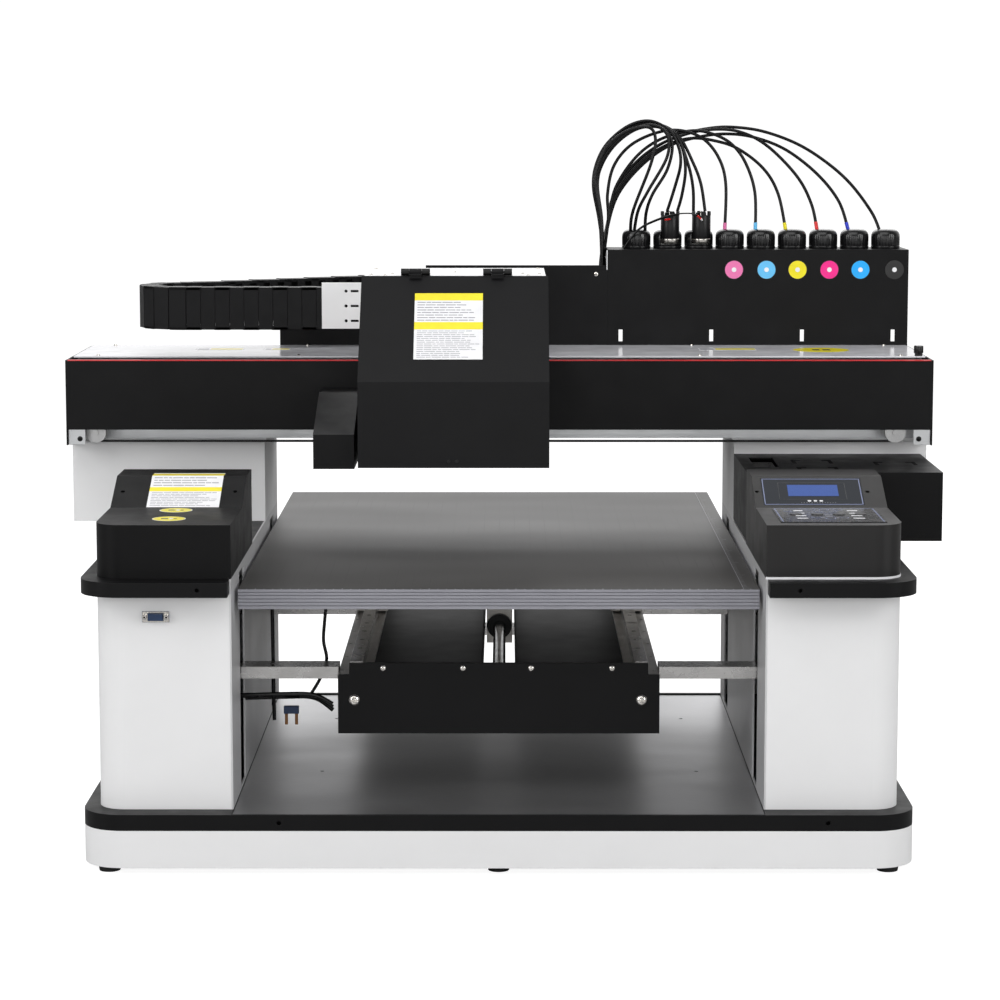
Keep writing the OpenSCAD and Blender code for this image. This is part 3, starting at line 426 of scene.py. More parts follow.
class Piece:
    """One mesh under construction. Points are in millimetres; each face gets a material by name."""

    def __init__(self, name):
        self.name = name
        self.bm = bmesh.new()
        self.materials = []

    def index(self, material):
        """The material's slot on this mesh, new if it has none."""
        if material not in self.materials:
            self.materials.append(material)
        return self.materials.index(material)

    def faces(self, points, faces, material, smooth=False):
        verts = [self.bm.verts.new(Vector(p) * MM) for p in points]
        index = self.index(material)
        for f in faces:
            face = self.bm.faces.new([verts[i] for i in f])
            face.material_index = index
            face.smooth = smooth

    def grid(self, rings, material, closed=True, caps=True, smooth=True):
        """Skins rings of points. closed joins each ring's ends; caps closes the first and last ring."""
        n = len(rings[0])
        points = [p for ring in rings for p in ring]
        faces = []
        for i in range(len(rings) - 1):
            for k in range(n if closed else n - 1):
                j = (k + 1) % n
                faces.append((i * n + k, i * n + j, (i + 1) * n + j, (i + 1) * n + k))
        if caps:
            faces.append(tuple(reversed(range(n))))
            faces.append(tuple((len(rings) - 1) * n + k for k in range(n)))
        self.faces(points, faces, material, smooth)

    def box(self, x, y, z, material, chamfer=0.0, place=None):
        """A box between corners, with its edges along z and its rims chamfered. place moves it."""
        place = place or Matrix.Identity(4)
        c = chamfer
        if c:
            plan = [(x[0] + c, y[0]), (x[1] - c, y[0]), (x[1], y[0] + c), (x[1], y[1] - c),
                    (x[1] - c, y[1]), (x[0] + c, y[1]), (x[0], y[1] - c), (x[0], y[0] + c)]
            levels = [(z[0], c), (z[0] + c, 0), (z[1] - c, 0), (z[1], c)]
        else:
            plan = [(x[0], y[0]), (x[1], y[0]), (x[1], y[1]), (x[0], y[1])]
            levels = [(z[0], 0), (z[1], 0)]
        mid = ((x[0] + x[1]) / 2, (y[0] + y[1]) / 2)
        half = ((x[1] - x[0]) / 2, (y[1] - y[0]) / 2)
        rings = []
        for level, inset in levels:
            rings.append([place @ Vector((mid[0] + (px - mid[0]) * (1 - inset / half[0]),
                                          mid[1] + (py - mid[1]) * (1 - inset / half[1]), level))
                          for px, py in plan])
        self.grid(rings, material, smooth=False)

    def lathe(self, profile, material, place=None, sides=48, ribs=None):
        """Turns (radius, height) points round z, with the grooves that ribs gives."""
        place = place or Matrix.Identity(4)
        rings = []
        for r, h in profile:
            ring = []
            for k in range(sides):
                a = math.tau * k / sides
                radius = ribbed(r, h, a, ribs)
                ring.append(place @ Vector((radius * math.cos(a), radius * math.sin(a), h)))
            rings.append(ring)
        self.grid(rings, material)

    def wall(self, profile, material, place, start, end, ribs, steps=72):
        """Part of a turned, ribbed wall between two angles in degrees. profile goes all round its section."""
        rings = []
        for k in range(steps + 1):
            a = math.radians(start + (end - start) * k / steps)
            ring = []
            for r, h in profile:
                radius = ribbed(r, h, a, ribs)
                ring.append(place @ Vector((radius * math.cos(a), radius * math.sin(a), h)))
            rings.append(ring)
        self.grid(rings, material)

    def tube(self, path, radius, material, sides=10):
        """A round tube along a path of points."""
        rings, side = [], None
        for i, p in enumerate(path):
            ahead = (path[min(i + 1, len(path) - 1)] - path[max(i - 1, 0)]).normalized()
            side = ahead.orthogonal().normalized() if side is None else \
                (side - ahead * side.dot(ahead)).normalized()
            other = ahead.cross(side)
            rings.append([p + radius * (math.cos(math.tau * k / sides) * side
                                        + math.sin(math.tau * k / sides) * other)
                          for k in range(sides)])
        self.grid(rings, material)

    def finish(self, body=None, slot=None, replaces=()):
        """Makes the object. It rides body and replaces CAD nodes. The slot argument is not used."""
        bmesh.ops.recalc_face_normals(self.bm, faces=self.bm.faces)
        for e in self.bm.edges:
            e.smooth = len(e.link_faces) == 2 and e.calc_face_angle() < SHARP
        mesh = bpy.data.meshes.new(self.name)
        self.bm.to_mesh(mesh)
        self.bm.free()
        for name in self.materials:
            mesh.materials.append(MATERIALS[name])
        obj = bpy.data.objects.new(self.name, mesh)
        bpy.context.scene.collection.objects.link(obj)
        if replaces:
            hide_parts(*replaces)
        if body:
            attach(obj, body)
        return obj


def facing(place, normal, up):
    """A placement whose z is normal and whose y is as near as can be to up."""
    z = Vector(normal).normalized()
    x = Vector(up).cross(z).normalized()
    y = z.cross(x)
    turn = Matrix((x, y, z)).transposed().to_4x4()
    return Matrix.Translation(Vector(place)) @ turn


FRONT = dict(normal=(0, -1, 0), up=(0, 0, 1))
TOP = dict(normal=(0, 0, 1), up=(0, 1, 0))


def slope(run, rise):
    """The uphill direction and the outward normal of a face that rises away from the operator."""
    up = Vector((0, run, rise)).normalized()
    return up, up.cross(Vector((1, 0, 0))) * -1


def circle_disc(piece, place, radius, thickness, material, sides=48):
    """A thin disc with a chamfered rim."""
    rim = min(0.1, thickness / 3)
    piece.lathe([(radius - rim, 0), (radius, rim), (radius, thickness - rim), (radius - rim, thickness)],
                material, place, sides)


def screw_head(piece, place, radius, height, material="screw_steel"):
    """A domed head with a black cross on its crown: painted shade for the recess of its drive."""
    piece.lathe([(radius, 0), (radius, height * 0.45), (radius * 0.82, height * 0.8),
                 (radius * 0.45, height)], material, place, 20)
    for angle in (0, math.pi / 2):
        turn = place @ Matrix.Rotation(angle, 4, "Z")
        # painted shade: a black cross stands for the shade in the drive's recess
        piece.box((-radius * 0.5, radius * 0.5), (-radius * 0.1, radius * 0.1),
                  (height * 0.9, height + 0.05), "painted_hole_shade", place=turn)


def line_frame(piece, place, x, y, width, thickness, material):
    """Four thin bars round a rectangle."""
    for bar_x, bar_y in ((x, (y[1] - width, y[1])), (x, (y[0], y[0] + width)),
                         ((x[0], x[0] + width), y), ((x[1] - width, x[1]), y)):
        piece.box(bar_x, bar_y, (0, thickness), material, place=place)


# ---------- labels and stickers ----------

FILM = 0.15  # thickness of a label
BAND_TOP = FILM + 0.05
BAR_TOP = FILM + 0.04
LEFT_MARGIN, RIGHT_MARGIN = 3.5, 4
RAGGED = 0.28  # largest share of the width that a row stops short by
BAR_LENGTHS = (4, 13)
BAR_GAP = 1.1
LEAST_REST = 3  # a row ends when less than this is left of it
BAR_HALF = 0.16  # half of a bar's height, as a share of the rows' spacing


def label(name, place, width, height, bands, body, rows, seed):
    """A blank sheet with yellow bands and rows of grey bars.

    bands and rows start with the low and high ends, as shares of the height, and a row adds its count.
    """
    rng = random.Random(seed)
    piece = Piece(name)
    piece.box((-width / 2, width / 2), (0, height), (0.02, FILM), "label_white", place=place)
    for low, high in bands:
        piece.box((-width / 2, width / 2), (low * height, high * height), (FILM, BAND_TOP),
                  "label_yellow", place=place)
    for low, high, count in rows:
        step = (high - low) * height / count
        for k in range(count):
            y = low * height + (k + 0.5) * step
            x = -width / 2 + LEFT_MARGIN
            stop = width / 2 - RIGHT_MARGIN - rng.random() * width * RAGGED
            while x < stop - LEAST_REST:
                run = min(rng.uniform(*BAR_LENGTHS), stop - x)
                piece.box((x, x + run), (y - step * BAR_HALF, y + step * BAR_HALF), (FILM, BAR_TOP),
                          "label_grey", place=place)
                x += run + BAR_GAP
    piece.finish(body)


HOOD_SLOPE = (121, 121.4)  # run and rise of the hood's sloping face
CONSOLE_SLOPE = (67, 30)  # run and rise of either console's sloping face
LEFT_LABEL_X = -374.5


def add_labels():
    """The sheets on the hood and on the left console. The second folds over onto the console's level back."""
    up, normal = slope(*HOOD_SLOPE)
    place = facing(Vector((-62, -246, 566.7)) + normal * 0.15, normal, up)
    label("hood_label", place, 84, 107, [(0.45, 0.56), (0.89, 1.0)],
          "cover", [(0.57, 0.88, 8), (0.02, 0.44, 15)], 3)
    up, normal = slope(*CONSOLE_SLOPE)
    place = facing(Vector((LEFT_LABEL_X, -357.4, 400.3)) + normal * 0.1, normal, up)
    label("console_label", place, 86, 72.6, [(0.5, 0.63)], "frame", [(0.65, 0.97, 4), (0.03, 0.48, 9)], 5)
    piece = Piece("console_label_fold")
    level = facing((LEFT_LABEL_X, -290.6, 430.1), **TOP)
    piece.box((-43, 43), (0, 18), (0, FILM), "label_yellow", place=level)
    piece.box((-43, 43), (18, 24), (0, FILM), "label_white", place=level)
    piece.finish("frame")


def add_console_stickers():
    """Two round stickers with plain marks on the left console."""
    radius, rim, film = 19.4, 1.1, 0.12
    for k, y in enumerate((-382, -457)):
        piece = Piece(f"console_sticker_{k}")
        place = facing((-379.5, y, 400.05), **TOP)
        circle_disc(piece, place, radius, film, "label_white")
        circle_disc(piece, place @ Matrix.Translation((0, 0, 0.1)), radius - rim, film, "label_yellow")
        inner = place @ Matrix.Translation((0, 0, 0.2))
        piece.box((-9, -1), (-3.4, 3.4), (0, 0.08), "label_dark", place=inner)
        piece.box((0.5, 4.5), (-5, 5), (0, 0.08), "label_white", place=inner)
        piece.box((5.5, 9), (-2.6, 2.6), (0, 0.08), "label_dark", place=inner)
        piece.finish("frame")


COVER_TOP = 552.05  # just above the gantry's top cover


def add_gantry_labels():
    """Three blank sheets and a plain disc on the gantry's top cover."""
    piece = Piece("gantry_labels")
    for x, width, depth in ((-372, 62, 30), (-296, 34, 24), (303, 76, 34)):
        place = facing((x, 108, COVER_TOP), **TOP)
        piece.box((-width / 2, width / 2), (-depth / 2, depth / 2), (0, 0.12), "label_white", place=place)
        piece.box((-width * 0.2, width / 2 - 1), (-depth * 0.3, depth * 0.4), (0.12, 0.16), "label_yellow",
                  place=place)
        piece.box((-width / 2 + 2, -width * 0.24), (-depth * 0.3, depth * 0.3), (0.12, 0.16), "label_grey",
                  place=place)
    disc = facing((427, 96, COVER_TOP), **TOP)
    circle_disc(piece, disc, 37, 0.14, "label_yellow")
    for low, high in ((-12, -2), (2, 12)):
        piece.box((low, high), (-9, 9), (0.14, 0.2), "label_dark", place=disc)
    piece.finish("frame")


# Where each ink's disc sits across the machine
INK_DISCS = {"ink_pink": 317, "ink_sky": 361, "ink_yellow": 403, "ink_magenta": 446, "ink_cyan": 488,
             "ink_black": 534}
RACK_FRONT = 182.95


def add_ink_discs():
    """A coloured disc with a blank white centre for each ink, along the rack's front."""
    for ink, x in INK_DISCS.items():
        piece = Piece(f"disc_{ink}")
        place = facing((x, RACK_FRONT, 654), **FRONT)
        layers = ((0, 12.8, 0.25, "ink_black", 48), (0.2, 12.1, 0.2, ink, 48),
                  (0.35, 3.2, 0.15, "label_white", 24))
        for lift, radius, thickness, material, sides in layers:
            circle_disc(piece, place @ Matrix.Translation((0, 0, lift)), radius, thickness, material, sides)
        piece.finish("frame")


# ---------- cable chain ----------

CHAIN_Z = (588, 643)
CHAIN_HALF = 12  # half of the chain's thickness
PITCH = 19.4  # length of a link
PLATE = 4.2  # thickness of a link's two plates
WALL = 2.4  # thickness of its outer wall and inner bar
LAP = 2.5  # how far its plates reach over the next link's
INSET = 0.4  # how much smaller every second link is
TIP = 1.5  # how far a plate's ends are rounded
CHAIN_RISE = 6  # how far the back run climbs by its fixed end
BEND_STRETCH = 1.2  # widens the outer walls round the loop, so that they close
LOOP_CENTRE = Vector((-401, 25))
LOOP_R = 54
FRONT_Y, BACK_Y = LOOP_CENTRE.y - LOOP_R, LOOP_CENTRE.y + LOOP_R
BACK_BEND = (-150, 157)  # where the back run turns along the gantry


def chain_link(piece, place, length, offset, stretch=1.0):
    """One link: a rounded plate at each end of its height, an outer wall and an inner bar.

    stretch widens the outer wall, for a link on a bend.
    """
    z0, z1 = CHAIN_Z
    half = CHAIN_HALF - offset
    reach = length / 2 + LAP
    outline = []
    for side in (1, -1):
        for k in range(7):
            a = side * math.pi / 2 - side * math.pi * k / 6
            outline.append((side * (reach - TIP) + TIP * math.cos(a), half * math.sin(a)))
    rim = 0.6
    for low in (z0 + offset, z1 - PLATE):
        high = low + PLATE - offset
        rings = [[place @ Vector((x * s, y * s, z)) for x, y in outline]
                 for z, s in ((low, 0.97), (low + rim, 1.0), (high - rim, 1.0), (high, 0.97))]
        piece.grid(rings, "chain_plastic", smooth=False)
    wide, narrow = length * 0.494 * stretch, length * 0.27
    bar = (z0 + 0.6, z1 - 0.6)
    piece.box((-wide, wide), (-CHAIN_HALF, -CHAIN_HALF + WALL), bar, "chain_plastic", 0.25, place)
    piece.box((-narrow, narrow), (CHAIN_HALF - WALL, CHAIN_HALF), bar, "chain_plastic", 0.5, place)


def link_place(point, ahead, lift=0.0):
    """A placement raised by lift, whose x runs along the chain and whose y points into its loop."""
    x = Vector((ahead[0], ahead[1], 0)).normalized()
    y = Vector((x.y, -x.x, 0))
    turn = Matrix((x, y, Vector((0, 0, 1)))).transposed().to_4x4()
    return Matrix.Translation((point[0], point[1], lift)) @ turn


def run_of_links(name, start, end, lifts=(0, 0)):
    """A whole number of links in a straight line, which rises from the first of lifts to the second."""
    a, b = Vector((*start, 0)), Vector((*end, 0))
    count = max(1, round((b - a).length / PITCH))
    length = (b - a).length / count
    piece = Piece(name)
    for k in range(count):
        share = (k + 0.5) / count
        lift = lifts[0] + (lifts[1] - lifts[0]) * share
        chain_link(piece, link_place(a.lerp(b, share), b - a, lift), length, INSET * (k % 2))
    return piece


def add_chain():
    """The chain's links. Its straight runs reach between the bodies at their ends and ride none of them."""
    centre, radius = LOOP_CENTRE, LOOP_R
    front = run_of_links("chain_links_front", (-197, FRONT_Y), (centre.x, FRONT_Y))
    obj = front.finish(slot="chain_plastic", replaces=["chain_front_run"])
    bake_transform(obj)

    loop = Piece("chain_links_loop")
    count = round(math.pi * radius / PITCH)
    for k in range(count):
        a = -math.pi / 2 - math.pi * (k + 0.5) / count
        point = (centre.x + radius * math.cos(a), centre.y + radius * math.sin(a))
        chain_link(loop, link_place(point, (math.sin(a), -math.cos(a))), math.pi * radius / count,
                   INSET * (k % 2), BEND_STRETCH)
    loop.finish("chain_loop", "chain_plastic", ["chain_loop"])

    back = run_of_links("chain_links_back", (centre.x, BACK_Y), BACK_BEND, (0, CHAIN_RISE))
    level = run_of_links("chain_links_level", BACK_BEND, (20, BACK_BEND[1]), (CHAIN_RISE, CHAIN_RISE))
    for piece in (back, level):
        obj = piece.finish(slot="chain_plastic", replaces=["chain_back_run"])
        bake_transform(obj)


# ---------- ink bottles, caps and tubes ----------

BOTTLES = [186.5 + 42.5 * i for i in range(9)]  # where the bottles stand across the machine
BOTTLE_Y = 226
STIRRED = (1, 2)  # the bottles with a stirrer
MOTOR_SHIFT = Vector((3, -7.5, 0))  # from a bottle's axis to its motor's
CAP_SKIRT = [(16.6, 681), (19.3, 681), (19.5, 681.6), (19.5, 684.6), (19.0, 685.0), (19.4, 685.6)]
CAP_WALL = CAP_SKIRT + [(19.5, 696.6), (19.2, 700), (18.2, 702.6)]
CAP_RIBS = (30, 0.5, 685.6, 697)


def add_caps():
    """Ribbed screw caps. A cap with a stirrer has its crown and its front wall cut away for the motor."""
    piece = Piece("ribbed_caps")
    for i, x in enumerate(BOTTLES):
        place = Matrix.Translation((x, BOTTLE_Y, 0))
        if i in STIRRED:
            piece.wall(CAP_WALL + [(16.6, 704.4), (14.8, 705), (14.2, 694)], "cap_plastic", place,
                       -37, 235, CAP_RIBS)
            piece.lathe(CAP_SKIRT + [(19.4, 687.4), (16.6, 687.7)], "cap_plastic", place, 60)
        else:
            piece.lathe(CAP_WALL + [(16.4, 704.8), (13.6, 706.4), (9.0, 707.2), (2.0, 707.4)],
                        "cap_plastic", place, 120, CAP_RIBS)
        piece.lathe([(17.6, 679.2), (20.6, 679.2), (20.6, 680.7), (17.6, 680.9)], "cap_plastic", place, 40)
    piece.finish("frame", "cap_plastic", ["bottle_caps"])


def add_stirrer_motors():
    """Each motor can stands on a bright mounting ring, with castellations round its top."""
    piece = Piece("stirrer_motor_cans")
    for i in STIRRED:
        place = Matrix.Translation(Vector((BOTTLES[i], BOTTLE_Y, 0)) + MOTOR_SHIFT)
        piece.lathe([(9, 688), (13.0, 688), (13.4, 688.6), (13.4, 694.2), (12.9, 694.8), (11, 695)],
                    "screw_steel", place, 40)
        piece.lathe([(11.6, 694.8), (12.4, 695), (12.7, 695.6), (12.7, 725.6), (12.4, 726.2),
                     (10.2, 726.2), (10.0, 722), (3.0, 722)], "motor_black", place, 40)
        piece.lathe([(2.0, 722), (2.0, 731.2), (1.6, 731.6), (0.4, 731.6)], "screw_steel", place, 16)
        for angle in (20, 100, 160, 200, 280, 340):
            turn = place @ Matrix.Rotation(math.radians(angle), 4, "Z")
            piece.box((9.9, 12.7), (-3.1, 3.1), (725.8, 731.9), "motor_black", 0.4, turn)
        for dx in (-4.5, 4.5):
            lug = place @ Matrix.Translation((dx, 6, 0))
            piece.lathe([(2.6, 722), (2.6, 729.4), (1.9, 730)], "motor_black", lug, 16)
    piece.finish("frame", "motor_black", ["stirrer_motors"])


# Each row is one tube: points across and up after the common bundle, and last where it lands.
TUBE_ROUTES = [
    [(137, 720), (129, 768), (134, 797), (148, 823), (174, 841),
     (201, 845), (210, 829), (204, 796), (181, 733), (178, 703.6)],
    [(138, 720), (131, 765), (136, 795), (152, 821), (179, 841), (206, 848),
     (226, 835), (226, 805), (201, 760), (188, 733), (183, 703.6)],
    [(138, 720), (131, 768), (138, 797), (158, 825), (187, 845), (217, 845),
     (233, 824), (227, 789), (207, 755), (199, 730), (198, 703.6)],
    [(135, 720), (127, 765), (131, 796), (146, 824), (174, 847), (203, 853.6),
     (229, 841), (242, 819), (245, 795), (238, 765), (228, 731.6)],
    [(136, 720), (128, 768), (135, 799), (152, 825), (182, 847), (211, 850),
     (236, 837), (248, 816), (252, 787), (248, 755), (242, 731.6)],
    [(139, 720), (133, 768), (140, 797), (159, 824), (187, 843),
     (217, 845), (241, 831), (256, 795), (263, 763), (264, 731.6)],
    [(138, 720), (132, 771), (140, 800), (160, 828), (190, 847),
     (219, 848), (244, 832), (263, 797), (274, 768), (280, 731.6)],
    [(148, 720), (147, 755), (155, 792), (177, 820), (211, 837),
     (244, 841), (276, 830), (298, 804), (308, 768), (307, 703.6)],
    [(149, 720), (158, 763), (185, 804), (217, 828), (257, 840),
     (287, 837), (315, 823), (335, 797), (348, 757), (349, 703.6)],
    [(150, 720), (162, 760), (194, 799), (228, 821), (260, 830),
     (292, 827), (325, 816), (360, 789), (380, 755), (391, 703.6)],
    [(149, 720), (157, 755), (181, 792), (214, 819), (252, 835), (289, 842),
     (327, 839), (365, 820), (406, 779), (426, 741), (434, 703.6)],
    [(149, 714), (163, 755), (193, 792), (230, 819), (273, 832), (311, 836),
     (349, 831), (392, 814), (435, 781), (464, 744), (477, 703.6)],
    [(149, 720), (155, 749), (177, 785), (209, 815), (249, 835), (289, 844), (322, 845),
     (362, 839), (408, 822), (448, 797), (481, 768), (509, 730), (520, 703.6)],
]
TUBE_R = 2.2
RISER_X = 139  # where the bundle climbs behind the panel
RISER_Z = (572.3, 620, 665)
FIRST_LANE, LANE_PITCH = 191, 5.2  # each tube has its own plane
LANE_SHARE = 0.3  # how much of its offset a tube keeps over its cap
SLEEVE_TOP = 717
SLEEVE_R = TUBE_R + 0.35
# The tubes that have a coloured sleeve at the cap
SLEEVES = {7: "ink_pink", 8: "ink_sky", 9: "ink_yellow", 10: "sleeve_red", 11: "sleeve_blue"}


def tube_points(i):
    """The same centreline as the CAD tube: its lane bends towards the cap over the last two points."""
    row = TUBE_ROUTES[i]
    last = len(row) - 1
    lane = FIRST_LANE + LANE_PITCH * i
    land = BOTTLE_Y + (lane - BOTTLE_Y) * LANE_SHARE
    points = [Vector((RISER_X + i % 4, lane, z)) for z in RISER_Z]
    for k, (px, pz) in enumerate(row):
        points.append(Vector((px, lane + (land - lane) * max(k - last + 2, 0) / 2, pz)))
    return points


def smooth_line(points, steps):
    """A smooth line through every point."""
    last = len(points) - 1
    line = []
    for i in range(last):
        a, b, c, d = (points[max(i - 1, 0)], points[i], points[i + 1], points[min(i + 2, last)])
        for k in range(steps):
            t = k / steps
            line.append(0.5 * (2 * b + (c - a) * t + (2 * a - 5 * b + 4 * c - d) * t ** 2
                               + (3 * b - a - 3 * c + d) * t ** 3))
    return line + [points[last]]


def add_tubes():
    """The ink tubes, and the coloured sleeves over their ends."""
    piece = Piece("ink_hoses")
    for i in range(len(TUBE_ROUTES)):
        piece.tube(smooth_line(tube_points(i), 10), TUBE_R, "tube_plastic", 12)
    piece.finish("frame", "tube_plastic", ["ink_tubes"])
    for i, ink in SLEEVES.items():
        end = [p for p in smooth_line(tube_points(i), 40)[-40:] if p.z < SLEEVE_TOP]
        sleeve = Piece(f"sleeve_{i}")
        sleeve.tube(end, SLEEVE_R, ink, 16)
        sleeve.finish("frame")


WIRE_R = 0.95


def add_motor_lead():
    """The thin two-core lead that links the two stirrer motors, with its red and white ends."""
    lead = [(168, 203, 682), (188, 197, 708), (212, 195, 721), (236, 196, 728), (256, 197, 729.5),
            (266, 199, 727.5), (273, 204.6, 722)]
    piece = Piece("motor_lead")
    path = smooth_line([Vector(p) for p in lead], 10)
    piece.tube(path, WIRE_R, "tube_plastic", 8)
    piece.tube([p + Vector((0, 2.0, -1.6)) for p in path[:34]], WIRE_R, "tube_plastic", 8)
    piece.tube([p + Vector((0, -0.2, 0)) for p in path[-9:]], 1.2, "sleeve_red", 8)
    piece.tube([Vector((224, 200.5, 720.6)), Vector((228, 203, 721.2)), Vector((231, 205.2, 721.4))], 1.2,
               "sleeve_red", 8)
    piece.tube([Vector((273, 203.4, 722)), Vector((274, 204.4, 721)), Vector((274.6, 205.2, 720))], 1.3,
               "label_white", 8)
    piece.finish("frame", "tube_plastic")


# ---------- consoles ----------

def add_display():
    """The display's printed frame, its lit screen and rows of blank marks."""
    up, normal = slope(*CONSOLE_SLOPE)
    place = facing(Vector((374, -324.5, 415)) + normal * 0.05, normal, up)
    piece = Piece("display_face")
    line_frame(piece, place, (-58.5, 58.5), (-29.6, 29.6), 1.2, 0.12, "frame_line")
    line_frame(piece, place, (-40, 40), (-17.5, 20.5), 0.3, 0.06, "label_dark")
    piece.box((-29, 31), (-10, 15.5), (0, 0.15), "display_lit", place=place)
    for x in (-5, 2, 9):
        piece.box((x - 2, x + 2), (-22.6, -19.8), (0, 0.2), "label_white", place=place)
    for k in range(14):
        piece.box((-15 + k * 3.1, -14.2 + k * 3.1), (-25.6, -24.8), (0, 0.1), "label_grey", place=place)
    piece.finish("frame", "display_window")


def add_keypad():
    """The printed film round the keys: a frame line, rings and two columns of blank captions."""
    piece = Piece("keypad_print")
    place = facing((0, 0, 401.02), **TOP)
    x0, x1, y0, y1, line = 324, 441, -487, -371, 1.6
    for x, y in (((x0, x1), (y1 - line, y1)), ((x0, x0 + line), (y0, y1)), ((x1 - line, x1), (y0, y1))):
        piece.box(x, y, (0, 0.1), "frame_line", place=place)
    for k in range(4):
        y = -392 - k * 22
        piece.box((345 - k * 0.5, 356), (y - 3, y + 3), (0, 0.12), "label_white", 0.0, place)
        piece.box((408, 420 + k * 0.5), (y - 3, y + 3), (0, 0.12), "label_white", 0.0, place)
    for x, y, r in ((338, -396, 5), (366, -384, 6), (382, -384, 6), (398, -384, 6), (374, -404, 4.5),
                    (390, -404, 4.5), (366, -450, 6), (382, -462, 6), (398, -450, 6)):
        circle_disc(piece, place @ Matrix.Translation((x, y, 0)), r, 0.12, "frame_line", 24)
        circle_disc(piece, place @ Matrix.Translation((x, y, 0.1)), r - 1.1, 0.12, "keypad_film", 24)
    for x, y in ((372, -452), (382, -444), (392, -452), (382, -430)):
        piece.box((x - 4, x + 4), (y - 1.4, y + 1.4), (0, 0.12), "label_grey", place=place)
    piece.finish("frame", "keypad_film")


def add_console_seam():
    """The pale gasket between the right console and its shelf, round the console's front corner."""
    piece = Piece("console_gasket")
    x0, x1, y, r = 303.4, 460.6, -511.6, 32.6
    back, width, low, high = -400, 3, 338.05, 340.6
    angles = [-math.pi / 2 + math.pi / 2 * k / 8 for k in range(9)]

    def edge(inset):
        bend = [(x1 - r + (r - inset) * math.cos(a), y + r + (r - inset) * math.sin(a)) for a in angles]
        return [(x0, y + inset)] + bend + [(x1 - inset, back)]

    rings = [[Vector((*p, low)), Vector((*p, high)), Vector((*q, high)), Vector((*q, low))]
             for p, q in zip(edge(0), edge(width))]
    piece.grid(rings, "label_white", smooth=False)
    piece.finish("frame")


# ---------- table ruling, gantry trim and small parts ----------

TABLE_TOP = 320.0
TABLE_HALF = 300  # half of its width
TABLE_FRONT = -471
RULED_Y = (-440, 424)  # the lines' two ends
SIDE_SCALE_X = 282


def add_table_ruling():
    """Lines 20 mm apart along the travel, and scales in 10 mm steps along the front and right edges."""
    piece = Piece("table_ruling")
    line, tick = (TABLE_TOP, TABLE_TOP + 0.03), (TABLE_TOP, TABLE_TOP + 0.05)
    for k in range(1, 30):
        x = -TABLE_HALF + 20 * k
        piece.box((x - 0.3, x + 0.3), RULED_Y, line, "ruling_dark")
    for k in range(59):
        x = -TABLE_HALF + 10 * (k + 1)
        reach = 7 if k % 10 == 1 else 4
        piece.box((x - 0.45, x + 0.45), (TABLE_FRONT + 0.4, TABLE_FRONT + reach), tick, "label_grey")
    piece.box((SIDE_SCALE_X - 0.2, SIDE_SCALE_X + 0.3), (TABLE_FRONT + 1, RULED_Y[1]), tick, "label_grey")
    for k in range(89):
        y = TABLE_FRONT + 10 * (k + 1)
        reach = 5 if k % 10 else 10
        piece.box((SIDE_SCALE_X, SIDE_SCALE_X + reach), (y - 0.3, y + 0.3), tick, "label_grey")
    piece.finish("table", "table_anodised")


def add_gantry_trim():
    """The red strip on the gantry's front edge, and the rear panel's screw and bright edge."""
    piece = Piece("red_edge_strip")
    piece.box((-551, 551), (-63.2, -56.5), (550.05, 551.4), "red_strip", 0.3)
    piece.finish("frame")
    piece = Piece("rear_panel_screw")
    screw_head(piece, facing((130.5, 183, 648), **FRONT), 3, 1.6)
    piece.box((144.4, 145.9), (182.4, 182.95), (654, 680.5), "beam_metal")
    piece.finish("frame", "screw_steel")


def add_end_brackets():
    """Bright angles under the front panel at the gantry's two ends, each with its screw."""
    piece = Piece("end_brackets")
    for side in (-1, 1):
        x = sorted((side * 551.6, side * 530))
        piece.box(x, (-60, -57.5), (442.3, 463), "beam_metal", 0.3)
        screw_head(piece, facing((side * 537, -60, 450), **FRONT), 3.4, 1.6, "motor_black")
    piece.finish("frame", "beam_metal")


def add_carriage_screws():
    """Screws in the carriage's top plate, and two rivets at the foot of its hood."""
    piece = Piece("top_plate_screws")
    for x, y in ((-160, -120), (-134, -100), (-142, -134), (36, -134), (50, -104), (30, -96), (-56, -60),
                 (-160, 30), (50, 30)):
        screw_head(piece, facing((x, y, 663), **TOP), 2.6, 1.3)
    piece.finish("carriage", "screw_steel")
    piece = Piece("hood_rivets")
    for x in (-61, -51):
        circle_disc(piece, facing((x, -271, 445), **FRONT), 2.2, 0.6, "motor_black", 16)
    piece.finish("cover", "motor_black")


COLUMN_FRONT = -511


def add_connector_shell():
    """A plated shell and hexagonal posts round the data socket on the left column's front."""
    piece = Piece("connector_shell")
    place = facing((-390, COLUMN_FRONT - 1.05, 295), **FRONT)
    for x, y in (((-15.2, 15.2), (4.4, 6)), ((-15.2, 15.2), (-6, -4.4)), ((-15.2, -9), (-4.4, 4.4)),
                 ((9, 15.2), (-4.4, 4.4))):
        piece.box(x, y, (0, 0.5), "screw_steel", 0.12, place)
    for x in (-12.4, 12.4):
        post = place @ Matrix.Translation((x, 0, 0))
        piece.lathe([(2.9, 0.4), (2.9, 4.6), (2.5, 5.0), (1.3, 5.0)], "screw_steel", post, 6)
        # painted shade: a black disc on the post's top stands for its threaded hole
        circle_disc(piece, post @ Matrix.Translation((0, 0, 4.9)), 1.2, 0.3, "painted_hole_shade", 12)
    piece.finish("frame", "screw_steel")


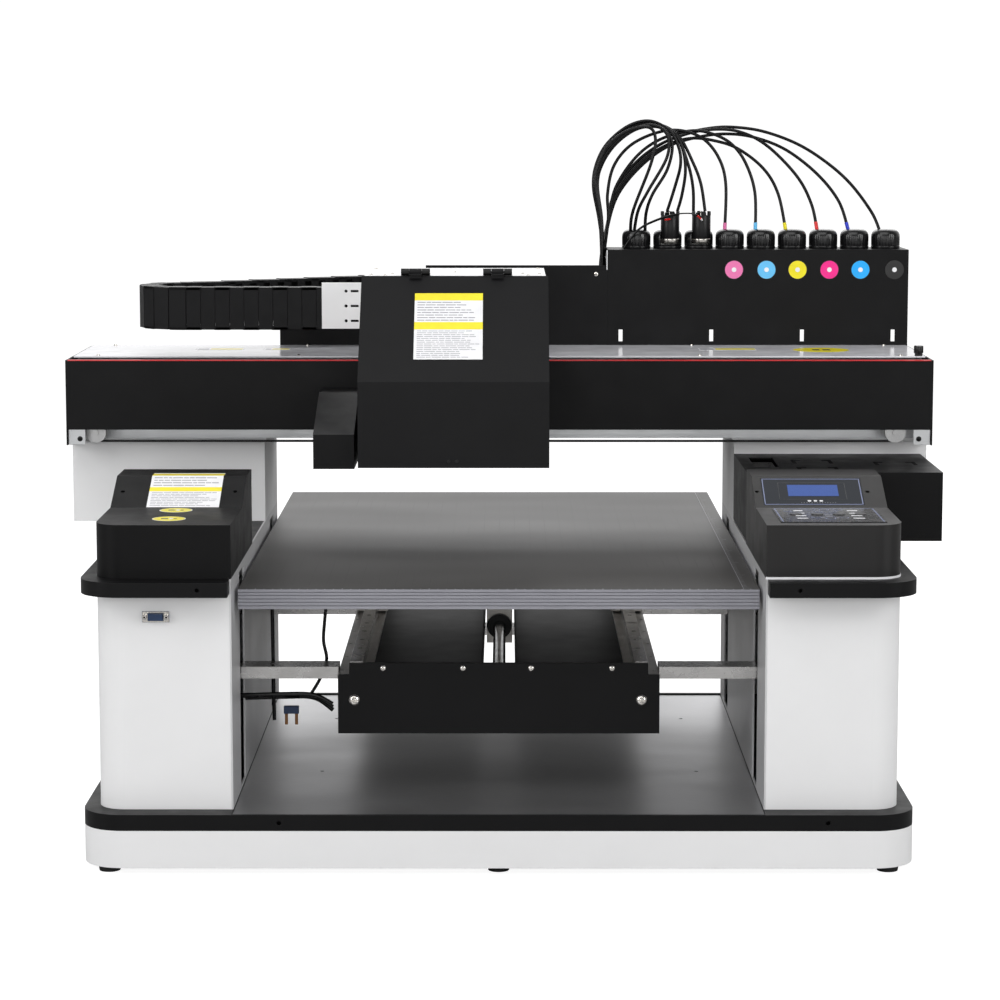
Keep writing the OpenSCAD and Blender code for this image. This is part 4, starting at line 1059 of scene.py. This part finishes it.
def add_station_slots():
    """Lanced slots in the cap station's top, drawn as painted shade: two black corners joined by a thin line.
    """
    piece = Piece("station_slots")
    for x0, x1, y0, y1 in ((370, 421, -127, -90), (370, 421, -189, -166), (472, 525, -145, -109)):
        place = facing((0, 0, 426.02), **TOP)
        mid = (x0 + x1) / 2
        # painted shade: black sheets where the slots' openings fall in shade
        for x, y in (((x0, x0 + 5), (y0, y1)), ((x0, x0 + 12), (y1 - 9, y1)), ((x1 - 5, x1), (y0, y1)),
                     ((x1 - 12, x1), (y1 - 9, y1)), ((mid - 15, mid + 15), (y1 - 3, y1 - 1.4))):
            piece.box(x, y, (0, 0.06), "painted_hole_shade", place=place)
    piece.finish("frame")


def add_nut_ring():
    """The ball nut's dark flange, in front of its block under the table."""
    piece = Piece("nut_flange")
    place = facing((0, 74, 185), **FRONT)
    piece.lathe([(9, 0), (16, 0), (16.4, 0.5), (16.4, 7.5), (15.8, 8.2), (9, 8.2)], "motor_black", place, 40)
    piece.finish("table", "motor_black")


def add_bed_cables():
    """Loose leads behind the front crossbar: two that hang from it and a bundle with a small plug."""
    piece = Piece("bed_cables")
    hang = smooth_line([Vector(p) for p in ((-270.6, -345, 291), (-270, -345, 220), (-269.5, -346, 175),
                                        (-269, -346, 142))], 8)
    piece.tube(hang, 2.2, "tube_plastic", 10)
    lead = smooth_line([Vector(p) for p in ((-205, -345, 291), (-208, -345, 262), (-209.5, -345, 238),
                                        (-206, -345, 215), (-214, -345, 192), (-226, -346, 172))], 8)
    piece.tube(lead, 2.0, "tube_plastic", 10)
    for k in range(3):
        lift = Vector((0, 4.6 * k, -2.6 * k))
        run = smooth_line([Vector(p) + lift for p in ((-404, -352, 170), (-330, -350, 172), (-260, -349, 174),
                                                  (-222, -349, 173), (-199, -349, 162 - 2 * k))], 8)
        piece.tube(run, 2.6, "tube_plastic", 10)
    plug = facing((-248, -350, 156), **FRONT)
    piece.box((-9, 9), (-4.5, 4.5), (0, 7), "connector_blue", 0.5, plug)
    for x in (-6, 6):
        piece.box((x - 1.8, x + 1.8), (-18, -4.6), (2, 5), "lead_brown", 0.3, plug)
    piece.finish("bed", "tube_plastic")


def add_gantry_knob():
    """The stub of a clamp screw that stands out at the gantry's right end."""
    piece = Piece("end_knob")
    place = facing((543, -1, 552), **TOP)
    piece.lathe([(5, 0), (5, 3), (5.8, 3.4), (6.2, 4.4), (6.2, 12), (5.8, 13), (4.4, 13.4)], "cap_plastic",
                place, 60, (12, 0.6, 4, 12.4))
    piece.finish("frame", "cap_plastic")


add_camera()
add_world()
add_lights()
add_floor()
MATERIALS = make_materials()
paint_nodes()
add_labels()
add_console_stickers()
add_gantry_labels()
add_ink_discs()
add_chain()
add_caps()
add_stirrer_motors()
add_tubes()
add_motor_lead()
add_display()
add_keypad()
add_console_seam()
add_table_ruling()
add_gantry_trim()
add_end_brackets()
add_carriage_screws()
add_gantry_knob()
add_connector_shell()
add_station_slots()
add_nut_ring()
add_bed_cables()
bpy.context.scene.view_settings.view_transform = "Standard"
